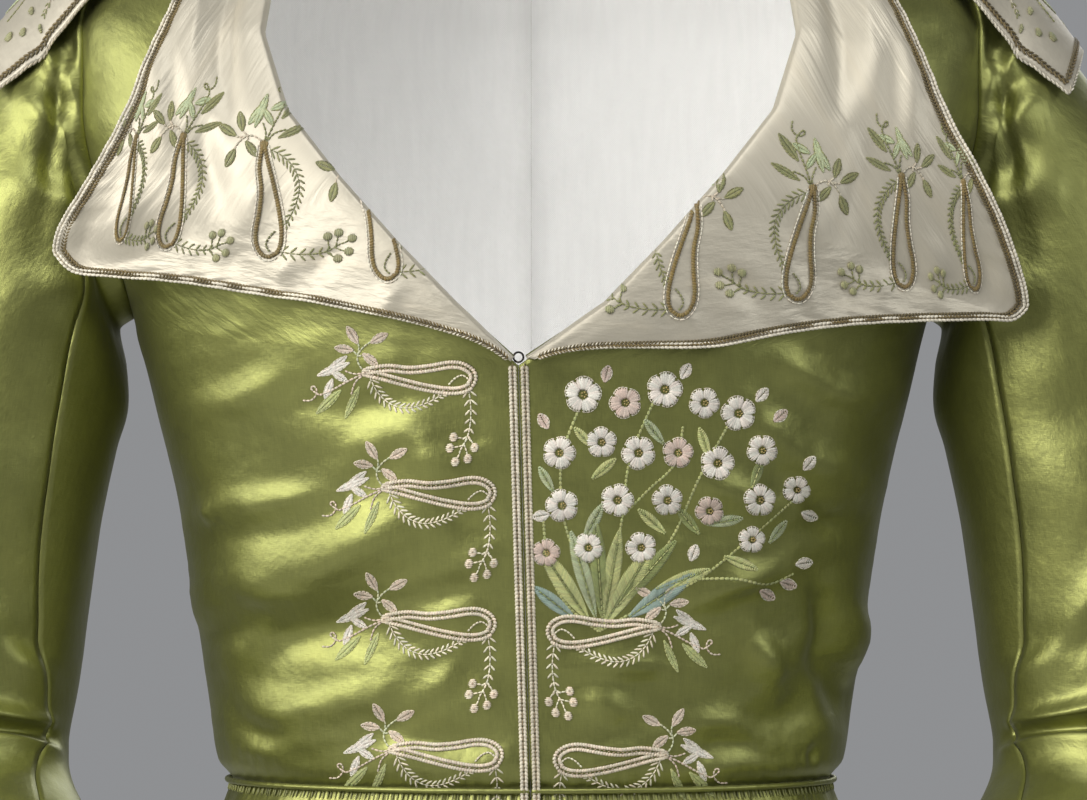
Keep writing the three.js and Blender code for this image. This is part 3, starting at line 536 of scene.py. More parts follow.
def sleeve_surface(turn, ring):
    p = plain_sleeve(turn, ring)
    n = normal_of(plain_sleeve, turn, np.clip(ring, 0.5, RINGS - NUDGE))
    a, b = sleeve_chart(turn, ring)
    calm = ease(ring, 0, 0.5) * ease(RINGS - ring, 0, 0.6)
    calm = calm * ease(np.abs(np.sin((turn - BACK_SEAM) / 2)), 0, 0.14)  # both pieces agree at the back seam
    rows = [(a0 * 0.9, b0 * 26, a1 * 0.9, b1 * 26, w, d) for a0, b0, a1, b1, w, d in SLEEVE_CREASES]
    rough = wander(a, b, 44, 21) * 1.0 + wander(a, b, 19, 22) * 0.08
    pucker = np.exp(-ring * 5) * ease(ring, 0, 0.12) * np.sin(turn * 36) * 0.35
    push = calm * (crease(a, b, rows) + rough) + pucker
    return p - n * push[..., None], n


# --- collar and lapels ---


def lapel_depth(x, z):
    def on(half):
        return trunk(turn_at_x(half, z), z)[..., 1]

    step = 6
    slope = (on(LAPEL_SPREAD) - on(LAPEL_SPREAD - step)) / step
    return np.where(x <= LAPEL_SPREAD, on(x), on(LAPEL_SPREAD) + slope * (x - LAPEL_SPREAD))


def trunk_front(x, z):
    return np.where(x < half_width(z), trunk(turn_at_x(x, z), z)[..., 1], SIDE_Y)


def clear_of_trunk(p, lift):
    """Points lifted clear of the trunk, by at least a given distance sideways."""
    z = np.clip(p[..., 2], 0, NECK_Z)
    power = roundness(z)
    half = half_width(z) + lift
    depth = depth_at(TRUNK, p[..., 1] < SIDE_Y, z) + lift
    q = ((np.abs(p[..., 0]) / half) ** power + (np.abs(p[..., 1] - SIDE_Y) / depth) ** power) ** (1 / power)
    want = 0.5 * (q + 1 + np.hypot(q - 1, 0.03))
    grow = want / np.maximum(q, 1e-9)
    moved = stack(p[..., 0] * grow, SIDE_Y + (p[..., 1] - SIDE_Y) * grow, p[..., 2])
    return np.where((p[..., 2] > NECK_Z)[..., None], p, moved)


def collar_maker(word):
    """The collar's surface by its share round the neckline and its share across, seam to outer edge."""
    side = dict(SIDES)[word]
    steps = np.linspace(0, 1, 9)
    turn, z = front_patch(side, np.zeros(9), lerp(BREAK, 1, steps))
    front_p, front_n = trunk(turn, z), either_normal(turn, z)
    more = np.linspace(0, 1, 5)
    turn, z = np.broadcast_arrays(*back_patch(BACK_NECK_AT * (1 - more), np.ones(5)))
    back_p, back_n = trunk(turn, z), trunk_normal(turn, z)
    shares = np.concatenate([SHOULDER_AT * steps, lerp(SHOULDER_AT + 0.002, 1, more)])
    seam_p, seam_n = np.concatenate([front_p, back_p]), np.concatenate([front_n, back_n])

    def seam(share):
        return along_rows(share, shares, seam_p), unit(along_rows(share, shares, seam_n))

    x, z = LAPEL_EDGE[word][:, 0], LAPEL_EDGE[word][:, 1]
    chest = stack(x, np.minimum(lapel_depth(x, z), trunk_front(x, z)) - LAPEL_LIFT, z)
    x, z = COLLAR_BEHIND[:, 0], COLLAR_BEHIND[:, 1]
    turn = np.pi - turn_at_x(x, z)
    behind = trunk(turn, z) + trunk_normal(turn, z) * LAPEL_LIFT
    low, high = chest[: POINT_ROW + 1], np.concatenate([chest[POINT_ROW:], behind])

    def edge(share):
        first = through(low, share / POINT_AT)
        rest = through(high, (share - POINT_AT) / (1 - POINT_AT))
        return np.where((share <= POINT_AT)[..., None], first, rest)

    def surface(share, across):
        share, across = np.broadcast_arrays(np.asarray(share, float), np.asarray(across, float))
        base, out = seam(share + 0.010 * (1 - ease(share, 0, 0.09)))
        along = unit(seam(np.clip(share + 0.01, 0, 1))[0] - seam(np.clip(share - 0.01, 0, 1))[0])
        up = unit(np.cross(out, along))
        stand = (COLLAR_STAND * ease(share, 0.5, 0.95))[..., None]

        def rise(u, w):
            return base + up * u + out * w

        turned = np.stack([
            rise(2 * GAP, -CLOTH / 2),
            rise(3 * GAP + stand * 0.6, -CLOTH / 2),
            rise(FOLD_R + stand, FOLD_R / 2),
            rise(FOLD_R * 0.6 + stand, FOLD_R + CLOTH),
        ])
        rolled = spline(turned, np.clip(across / STAND_SHARE, 0, 1) * 3)
        t = np.clip((across - STAND_SHARE) / (1 - STAND_SHARE), 0, 1)[..., None]
        flat = lerp(turned[3], edge(share), t)
        laid = lerp(clear_of_trunk(flat, LAPEL_LIFT * 0.9), turned[3], (1 - t) ** 6)
        return np.where((across <= STAND_SHARE)[..., None], rolled, laid)

    return surface


def collar_surface(word, share, across, dressed=True):
    make = collar_maker(word)
    s, a = np.clip(share, 2 * NUDGE, 1 - 2 * NUDGE), np.clip(across, 2 * NUDGE, 1 - 2 * NUDGE)
    n = -normal_of(make, s, a)
    p = make(share, across)
    p[..., 0] = np.where(share > SHOULDER_AT, np.maximum(p[..., 0], GAP / 2), p[..., 0])
    end = np.broadcast_to(share >= 1, n.shape[:-1])[..., None]
    n = np.where(end, unit(n * np.array([0, 1, 1])), n)
    if not dressed:
        return p, n
    calm = ease(across, 0.3, 0.5) * (0.45 + 0.55 * ease(1 - across, 0, 0.06))
    x, z = p[..., 0], p[..., 2]
    sway = COLLAR_GAIN * crease(x, z, COLLAR_CREASES[word]) + wander(x * 1.7, z * 0.7, 34, len(word)) * 0.6
    ripple = ease(across, 0.8, 1.0) * np.sin(share * 250 + 3 * np.sin(share * 41)) * 0.5
    front = ease(SHOULDER_AT + 0.05 - share, 0, 0.06)
    push = calm * (sway * front + wander(share * 500, across * 60, 40, 8) * 0.4 * (1 - front)) + ripple
    p = p - n * np.clip(push, -3.2, 2.4)[..., None]
    # the lapel's lower end narrows to a point where the fronts close
    drawn = ((1 - ease(share, 0, 0.085)) * 0.9)[..., None]
    fold, _ = collar_surface(word, share, np.full(np.shape(share), STAND_SHARE), False)
    return lerp(p, fold + (p - fold) * np.array([0.3, 1.0, 0.2]), drawn), n


# --- epaulettes ---


def ridge_z(x):
    zs = np.linspace(TIP_Z - 20, NECK_Z, 3000)
    return float(zs[np.argmin(np.abs(half_width(zs) - x))])


def over_shoulder(x, ring, down):
    """The shoulder's surface at distances down from its ridge, those to the front negative."""
    k = np.linspace(0, 1, 25)
    out = np.zeros((*down.shape, 3))
    for sign in (-1, 1):
        if x:
            z = ridge_z(x) - 90 * k**2
            turn = turn_at_x(x, z)
            line = trunk(turn if sign < 0 else np.pi - turn, z)
        else:
            line = plain_sleeve(np.pi + sign * k * 1.6, np.full(25, float(ring)))
        reach = spacing(line)
        p = along_rows(np.abs(down), reach, line)
        out = np.where((np.sign(down + 1e-12) == sign)[..., None], p, out)
    return out


def epaulette(along, across):
    along, across = np.broadcast_arrays(np.asarray(along, float), np.asarray(across, float))
    rows = []
    for x, ring, fore, aft in EPAULETTE:
        down = np.where(across < 0, fore, aft) * across
        rows.append(over_shoulder(x, ring, down))
    return spline(np.stack(rows), along * (len(EPAULETTE) - 1))


def epaulette_surface(along, across):
    n = normal_of(epaulette, np.clip(along, 0.02, 0.98), np.clip(across, -0.97, 0.97), 4e-3)
    p = epaulette(along, across) + n * (EPAULETTE_LIFT + CLOTH)
    puckers = ease(np.abs(across), 0.85, 1) * np.sin(along * 60) * 0.25
    push = wander(along * 90, across * 45, 30, 17) * 0.5 + puckers
    return p - n * push[..., None], n


# --- skirt ---


def plain_skirt(turn, z):
    around = np.abs(turn)
    front = 1 - ease(around, 0.5, 1.2)
    depth = depth_at(SKIRT, np.cos(turn) > 0, z)
    bent = turn + 0.06 * np.sin(3 * turn + 1) + 0.035 * np.sin(5 * turn + 0.5)
    flute = smooth(SKIRT, "z", "flute", z) * (1 - 0.6 * front) * np.cos(SKIRT_FOLDS * bent)
    half = smooth(SKIRT, "z", "half", z)
    return stack((half + flute) * np.sin(turn), SIDE_Y - (depth + flute) * np.cos(turn), z)


def open_turn(z):
    parting = GAP / 2 + HEM_PARTING * (np.maximum(-z, 0) / SKIRT_LENGTH) ** 1.3
    return np.arcsin(parting / smooth(SKIRT, "z", "half", z))


GORES = (("front", 0.0, 0.8, 110), ("side", 0.8, 1.95, 74), ("back", 1.95, math.pi, 70))


def skirt_surface(side, start, end, u, z):
    gap = GAP / 2 / smooth(SKIRT, "z", "half", z)
    first = open_turn(z) if start == 0 else start + gap
    turn = side * lerp(first, end - gap, u)
    turn, z = np.broadcast_arrays(turn, z)
    p = plain_skirt(turn, z)
    n = normal_of(plain_skirt, turn, np.clip(z, -SKIRT_LENGTH + 1, -1))
    p, n = p * np.array([side, 1, 1]), n * np.array([side, 1, 1])
    # fine gathers under the waist seam, and a slow drift of the flutes lower down
    arc = turn * 118
    pleats = np.sin(arc * 1.75 + 1.3 * np.sin(arc * 0.31)) * 0.4
    gather = np.exp(z / 13) * (pleats + wander(arc, z, 12, 31) * 0.35)
    drift = wander(arc, z, 120, 33) * 2.2 * ease(-z, 40, 300) + wander(arc, z, 46, 35) * 0.7 * ease(-z, 4, 60)
    calm = ease(u, 0, 0.04) * ease(1 - u, 0, 0.04)
    return p - n * (calm * (gather + drift))[..., None], n


# --- turning grids into meshes ---


def to_metres(p, side=1):
    return (np.asarray(p) * np.array([side, 1, 1]) - np.array([0, 0, NECK_Z])) / 1000


def grid_faces(rows, columns, start, flip):
    i, j = np.meshgrid(np.arange(columns - 1), np.arange(rows - 1))
    a = (start + j * columns + i).ravel()
    quads = np.stack([a, a + 1, a + 1 + columns, a + columns], -1)
    return quads[:, ::-1] if flip else quads


def new_object(name, mesh):
    made = bpy.data.objects.new(name, mesh)
    bpy.context.scene.collection.objects.link(made)
    return made


def set_uv(mesh, uv, name="cloth"):
    layer = mesh.uv_layers.new(name=name)
    corners = np.empty(len(mesh.loops), np.int32)
    mesh.loops.foreach_get("vertex_index", corners)
    layer.data.foreach_set("uv", uv[corners].astype(np.float32).ravel())


def run_over(q, axis):
    """Distance run over a grid from its first column or row."""
    steps = np.cumsum(np.linalg.norm(np.diff(q, axis=axis), axis=-1), axis=axis)
    return np.concatenate([np.zeros_like(steps.take([0], axis)), steps], axis)


def cloth_piece(name, node, p, n, side, thickness, face, lining):
    """A shell of cloth from a grid of outer points: face, lining and rolled rim, charted in metres."""
    rows, columns = p.shape[:2]
    q = to_metres(p, side)
    out = n * np.array([side, 1, 1])
    inner = q - out * thickness / 1000
    count = rows * columns
    border = np.concatenate([
        np.arange(columns),
        np.arange(1, rows) * columns + columns - 1,
        (rows - 1) * columns + np.arange(columns - 2, -1, -1),
        np.arange(rows - 2, 0, -1) * columns,
    ])
    flat_q, flat_in = q.reshape(-1, 3), inner.reshape(-1, 3)
    # the rim's middle stands a little beyond the edge, so that the edge looks turned under
    step_u = unit(np.gradient(q, axis=1))
    step_v = unit(np.gradient(q, axis=0))
    away = np.zeros_like(q)
    away[:, 0] -= step_u[:, 0]
    away[:, -1] += step_u[:, -1]
    away[0] -= step_v[0]
    away[-1] += step_v[-1]
    middle = (flat_q + flat_in)[border] / 2 + unit(away.reshape(-1, 3)[border]) * 0.00018
    points = np.concatenate([flat_q, flat_in, middle])
    mirror = side < 0
    faces = [grid_faces(rows, columns, 0, mirror), grid_faces(rows, columns, count, not mirror)]
    m = len(border)
    k, k2 = np.arange(m), (np.arange(m) + 1) % m
    mid, mid2 = 2 * count + k, 2 * count + k2
    rim_out = np.stack([border[k2], border[k], mid, mid2], -1)
    rim_in = np.stack([mid2, mid, count + border[k], count + border[k2]], -1)
    faces += [rim[:, ::-1] if mirror else rim for rim in (rim_out, rim_in)]
    quads = np.concatenate(faces)
    mesh = bpy.data.meshes.new(name)
    mesh.from_pydata(points.tolist(), [], quads.tolist())
    across, along = (run_over(q, axis) for axis in (1, 0))
    uv = np.stack([across, along], -1).reshape(-1, 2)
    set_uv(mesh, np.concatenate([uv, uv, uv[border]]))
    mesh.materials.append(face)
    mesh.materials.append(lining)
    which = np.zeros(len(quads), np.int32)
    outer_faces = (rows - 1) * (columns - 1)
    which[outer_faces : 2 * outer_faces] = 1
    mesh.polygons.foreach_set("material_index", which)
    mesh.polygons.foreach_set("use_smooth", np.ones(len(quads), bool))
    mesh.validate()
    mesh.update()
    piece = new_object(name, mesh)
    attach(piece, "root")
    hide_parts(node)
    return piece


def cord_mesh(name, points, outs, thick, sides, material):
    """A closed round cord along points in metres, charted in metres."""
    points, outs = np.asarray(points), np.asarray(outs)
    count = len(points)
    along = unit(np.gradient(points, axis=0))
    out = unit(outs - along * dot(outs, along))
    across = np.cross(along, out)
    angle = 2 * np.pi * (np.arange(sides) + 0.5) / sides
    radius = np.broadcast_to(thick, count)[:, None, None] / 2
    body = points[:, None] + across[:, None] * radius * np.cos(angle)[None, :, None]
    body = body + out[:, None] * radius * np.sin(angle)[None, :, None]
    faces = []
    for a in range(0, (count - 1) * sides, sides):
        b = a + sides
        faces += [(a + s, a + (s + 1) % sides, b + (s + 1) % sides, b + s) for s in range(sides)]
    faces += [tuple(reversed(range(sides))), tuple((count - 1) * sides + s for s in range(sides))]
    mesh = bpy.data.meshes.new(name)
    mesh.from_pydata(body.reshape(-1, 3).tolist(), [], faces)
    run = np.concatenate([[0], np.cumsum(np.linalg.norm(np.diff(points, axis=0), axis=-1))])
    uv = np.stack(np.broadcast_arrays(angle[None, :] / (2 * np.pi) * 0.006, run[:, None]), -1).reshape(-1, 2)
    set_uv(mesh, uv)
    mesh.polygons.foreach_set("use_smooth", np.ones(len(mesh.polygons), bool))
    middles = [Vector(points[min(f.vertices[0] // sides, count - 1)]) for f in mesh.polygons]
    if sum(f.normal.dot(f.center - middle) for f, middle in zip(mesh.polygons, middles)) < 0:
        mesh.flip_normals()
    mesh.materials.append(material)
    mesh.update()
    return mesh


# --- finishes ---


class Reading:
    """A value on its way through a finish's nodes; sums written with it add the nodes."""

    def __init__(self, finish, socket):
        self.finish, self.socket = finish, socket

    def _sum(self, operation, *values):
        return self.finish.add("ShaderNodeMath", {"operation": operation}, values).reading()

    def __add__(self, other):
        return self._sum("ADD", self, other)

    def __radd__(self, other):
        return self._sum("ADD", other, self)

    def __sub__(self, other):
        return self._sum("SUBTRACT", self, other)

    def __rsub__(self, other):
        return self._sum("SUBTRACT", other, self)

    def __mul__(self, other):
        return self._sum("MULTIPLY", self, other)

    def __rmul__(self, other):
        return self._sum("MULTIPLY", other, self)

    def __truediv__(self, other):
        return self._sum("DIVIDE", self, other)

    def __rtruediv__(self, other):
        return self._sum("DIVIDE", other, self)

    def wave(self):
        return self._sum("SINE", self)

    def rising(self, low, high):
        """0 below low, 1 above high, and smooth between."""
        how = {"interpolation_type": "SMOOTHSTEP"}
        return self.finish.add("ShaderNodeMapRange", how, (self, low, high, 0.0, 1.0)).reading()


class Knot:
    """A node that has been added to a finish."""

    def __init__(self, finish, node):
        self.finish, self.node = finish, node

    def reading(self, output=0):
        return Reading(self.finish, self.node.outputs[output])


class Finish:
    """A procedural material, built node by node."""

    def __init__(self, name):
        old = bpy.data.materials.get(name)
        if old:
            bpy.data.materials.remove(old)
        self.material = bpy.data.materials.new(name)
        self.material.use_nodes = True
        self.tree = self.material.node_tree
        self.tree.nodes.clear()

    def add(self, kind, settings=None, inputs=()):
        """Adds a node: its type, its settings, then its inputs by place or by name."""
        node = self.tree.nodes.new(kind)
        for key, value in (settings or {}).items():
            setattr(node, key, value)
        pairs = inputs.items() if isinstance(inputs, dict) else enumerate(inputs)
        for key, value in pairs:
            if value is None:
                continue
            socket = node.inputs[key]
            if isinstance(value, Reading):
                self.tree.links.new(value.socket, socket)
            else:
                socket.default_value = value
        return Knot(self, node)

    def chart(self):
        """The piece's own chart: across and along, in metres."""
        uv = self.add("ShaderNodeUVMap", {"uv_map": "cloth"}).reading()
        parts = self.add("ShaderNodeSeparateXYZ", {}, (uv,))
        return parts.reading(0), parts.reading(1)

    def place(self, x, y):
        return self.add("ShaderNodeCombineXYZ", {}, (x, y, 0.0)).reading()

    def noise(self, where, scale, detail=2.0, roughness=0.5):
        inputs = {"Vector": where, "Scale": scale, "Detail": detail, "Roughness": roughness}
        return self.add("ShaderNodeTexNoise", {}, inputs).reading()

    def blend(self, a, b, share):
        """A mix of two colours, from a to b."""
        node = self.add("ShaderNodeMix", {"data_type": "RGBA"}, {"Factor": share})
        for key, value in ((6, a), (7, b)):
            if isinstance(value, Reading):
                self.tree.links.new(value.socket, node.node.inputs[key])
            else:
                node.node.inputs[key].default_value = (*value, 1.0)
        return node.reading(2)

    def bump(self, height, distance, strength=1.0, normal=None):
        inputs = {"Height": height, "Distance": distance, "Strength": strength, "Normal": normal}
        return self.add("ShaderNodeBump", {}, inputs).reading()

    def surface(self, **inputs):
        named = {key.replace("_", " "): value for key, value in inputs.items()}
        shader = self.add("ShaderNodeBsdfPrincipled", {}, named).reading()
        self.add("ShaderNodeOutputMaterial", {}, (shader,))
        return self.material


def shade(colour, factor):
    return tuple(min(1.0, max(0.0, c * factor)) for c in colour)


def silk_satin(name, colour, metallic, roughness, grain=1.0, mottle=0.5, coat=0.3):
    """Satin: fine warp threads that catch the light, soft mottling and small crumples."""
    f = Finish(name)
    across, along = f.chart()
    thread = f.noise(f.place(across * 2600.0, along * 210.0), 1.0, 2.0, 0.6)
    slub = f.noise(f.place(across * 520.0, along * 46.0), 1.0, 2.0, 0.55)
    weft = f.noise(f.place(across * 240.0, along * 2900.0), 1.0, 1.0, 0.5)
    cloud = f.noise(f.place(across, along), 26.0, 3.0, 0.55)
    crumple = f.noise(f.place(across, along), 85.0, 3.0, 0.6)
    tone = thread * 0.40 + weft * 0.25 + slub * 0.2 + cloud * 0.5
    dark, light = shade(colour, 1 - 0.34 * mottle), shade(colour, 1 + 0.38 * mottle)
    tinted = f.blend(dark, light, tone.rising(0.38, 0.98))
    warmer = tuple(c * w for c, w in zip(colour, (1.12, 1.04, 0.92)))
    worn = f.blend(tinted, warmer, cloud.rising(0.5, 0.74) * 0.2)
    height = thread * 0.55 * grain + weft * 0.45 * grain + slub * 0.25
    fine = f.bump(height, 0.00011, 0.8)
    soft = f.bump(crumple + cloud * 2.0, 0.0007, 0.7, fine)
    return f.surface(
        Base_Color=worn,
        Metallic=metallic,
        Roughness=(thread * 0.22 + weft * 0.12 + cloud * 0.1) + (roughness - 0.2),
        Specular_IOR_Level=0.5,
        Sheen_Weight=0.05,
        Sheen_Roughness=0.4,
        Coat_Weight=coat,
        Coat_Roughness=0.4,
        Normal=soft,
    )


def linen(name, colour):
    """Plain woven lining."""
    f = Finish(name)
    across, along = f.chart()
    pitch = 0.0009
    warp = (across * 2 * math.pi / pitch).wave()
    weft = (along * 2 * math.pi / pitch).wave()
    slub = f.noise(f.place(across * 300, along * 34), 1.0, 2.0)
    cloud = f.noise(f.place(across, along), 18.0, 3.0)
    tone = warp * weft * 0.15 + slub * 0.5 + cloud * 0.4
    tinted = f.blend(shade(colour, 0.92), shade(colour, 1.03), tone.rising(0.1, 0.8))
    bump = f.bump(warp * weft + slub, 0.00009, 0.6)
    return f.surface(Base_Color=tinted, Roughness=slub * 0.1 + 0.78, Normal=bump)


def sewing_thread(name):
    """Silk embroidery thread: its colour is kept on each stitch, with fine strands along it."""
    f = Finish(name)
    dyed = f.add("ShaderNodeAttribute", {"attribute_type": "GEOMETRY", "attribute_name": "thread"}).reading()
    where = f.add("ShaderNodeTexCoord").reading(3)
    strand = f.noise(where, 2400.0, 2.0, 0.6)
    faded = f.noise(where, 60.0, 2.0, 0.5)
    dull, bright = (
        f.add("ShaderNodeHueSaturation", {}, {"Saturation": rich, "Value": value, "Color": dyed}).reading()
        for rich, value in ((0.9, 0.74), (1.0, 1.12))
    )
    tinted = f.blend(dull, bright, (strand * 0.6 + faded * 0.5).rising(0.35, 0.75))
    return f.surface(
        Base_Color=tinted, Roughness=strand * 0.2 + 0.34, Sheen_Weight=0.25, Normal=f.bump(strand,
            0.00012, 0.7)
    )


def wire_finish(name):
    f = Finish(name)
    where = f.add("ShaderNodeTexCoord").reading(3)
    rub = f.noise(where, 900.0, 3.0)
    return f.surface(
        Base_Color=f.blend((0.02, 0.019, 0.018), (0.16, 0.13, 0.1), rub.rising(0.45, 0.8)),
        Metallic=0.85,
        Roughness=rub * 0.4 + 0.2,
        Normal=f.bump(rub, 0.00006),
    )


def floor_finish(name):
    f = Finish(name)
    where = f.add("ShaderNodeTexCoord").reading(3)
    cloud = f.noise(where, 3.0, 3.0)
    pale = f.blend((0.56, 0.56, 0.55), (0.62, 0.62, 0.61), cloud)
    return f.surface(Base_Color=pale, Roughness=cloud * 0.1 + 0.75)


FINISHES = {}


def finish(name):
    """Each finish is made once, from the colours the user has set."""
    if name not in FINISHES:
        look = bpy.context.scene.redingote_finishes
        makers = {
            "green satin": (silk_satin, look.green, look.green_shine, look.green_roughness),
            "ivory satin": (silk_satin, look.ivory, look.ivory_shine, look.ivory_roughness, 0.4, 0.2, 0.0),
            "linen lining": (linen, look.lining),
            "embroidery silk": (sewing_thread,),
            "blackened wire": (wire_finish,),
            "pale floor": (floor_finish,),
        }
        maker, *values = makers[name]
        FINISHES[name] = maker(name, *values)
    return FINISHES[name]


# --- embroidery ---

EYE = Vector((0.005, -2.610, -0.235))  # the camera's place, from which the designs are laid on the cloth
LAYING_PLANE = -0.110

# Silks, as the embroiderer names them, in linear colour
SILKS = {
    "frog cord": (0.76, 0.655, 0.50),
    "frog mark": (0.43, 0.32, 0.21),
    "frog leaf": (0.70, 0.575, 0.445),
    "frog stem": (0.62, 0.63, 0.40),
    "frog fern": (0.80, 0.73, 0.54),
    "loop cord": (0.205, 0.142, 0.034),
    "loop leaf": (0.27, 0.27, 0.105),
    "loop fern": (0.225, 0.228, 0.085),
    "loop berry": (0.32, 0.315, 0.15),
    "loop vein": (0.17, 0.165, 0.055),
    "brown": (0.165, 0.115, 0.031),
    "olive": (0.112, 0.082, 0.022),
    "white": (0.80, 0.745, 0.65),
    "ivory": (0.76, 0.70, 0.56),
    "blush": (0.66, 0.52, 0.43),
    "yellow green": (0.52, 0.54, 0.21),
    "blade": (0.46, 0.50, 0.19),
    "leaf": (0.27, 0.31, 0.10),
    "moss": (0.42, 0.44, 0.16),
    "pale green": (0.44, 0.49, 0.28),
    "blue green": (0.29, 0.38, 0.32),
    "gold": (0.46, 0.34, 0.10),
    "buff": (0.56, 0.49, 0.36),
    "self green": (0.27, 0.28, 0.085),
}
# Which silks a motif is worked in
FROG_SILKS = {
    "cord": "frog cord", "mark": "frog mark", "sprig": "frog leaf", "rim": "frog cord", "stem": "frog stem",
    "arrow": "white", "arrow rim": "ivory", "tendril": "frog leaf", "blade": "blade",
    "blade rim": "yellow green", "fern": "frog fern", "berry": "frog cord",
}
LOOP_SILKS = {
    "cord": "loop cord", "mark": None, "sprig": "loop leaf", "rim": "loop vein", "stem": "buff",
    "arrow": "pale green", "arrow rim": "loop leaf", "tendril": "loop fern", "blade": "loop fern",
    "blade rim": "loop leaf", "fern": "loop fern", "berry": "loop berry",
}


FROG_CORD, LOOP_CORD = 4.1, 2.8  # widths of the laid cords


class Ground:
    """Finished cloth to sew on, found along the line of sight from the garment's front."""

    def __init__(self, *names):
        points, faces = [], []
        for name in names:
            mesh = bpy.data.objects[name].data
            start = len(points)
            points += [v.co.copy() for v in mesh.vertices]
            faces += [[start + i for i in f.vertices] for f in mesh.polygons]
        self.tree = BVHTree.FromPolygons(points, faces)

    def at(self, x, z):
        target = Vector((x / 1000, LAYING_PLANE, (z - NECK_Z) / 1000))
        hit, normal, _, _ = self.tree.ray_cast(EYE, (target - EYE).normalized())
        if hit is None:
            return None
        if normal.dot(EYE - hit) < 0:
            normal = -normal
        return np.array(hit), np.array(normal)


class Flap:
    """An epaulette to sew on, by distance along it from the neck and distance across, front negative."""

    def __init__(self, side):
        along, across = np.meshgrid(np.linspace(0, 1, 46), np.linspace(-1, 1, 61), indexing="ij")
        p, n = epaulette_surface(along, across)
        self.p, self.n = to_metres(p, side), n * np.array([side, 1, 1])

    def at(self, x, z):
        i = min(max(x / 96.0, 0.0), 0.999) * 45
        j = (min(max(z / 44.0, -0.999), 0.999) + 1) * 30
        a, b = int(i), int(j)
        s, t = i - a, j - b

        def mix(grid):
            return lerp(lerp(grid[a, b], grid[a + 1, b], s), lerp(grid[a, b + 1], grid[a + 1, b + 1], s), t)

        return mix(self.p), unit(mix(self.n))


def flat_through(curve, t):
    """Places on a smooth line through flat points."""
    return through(np.column_stack([curve, np.zeros(len(curve))]), t)[:, :2]


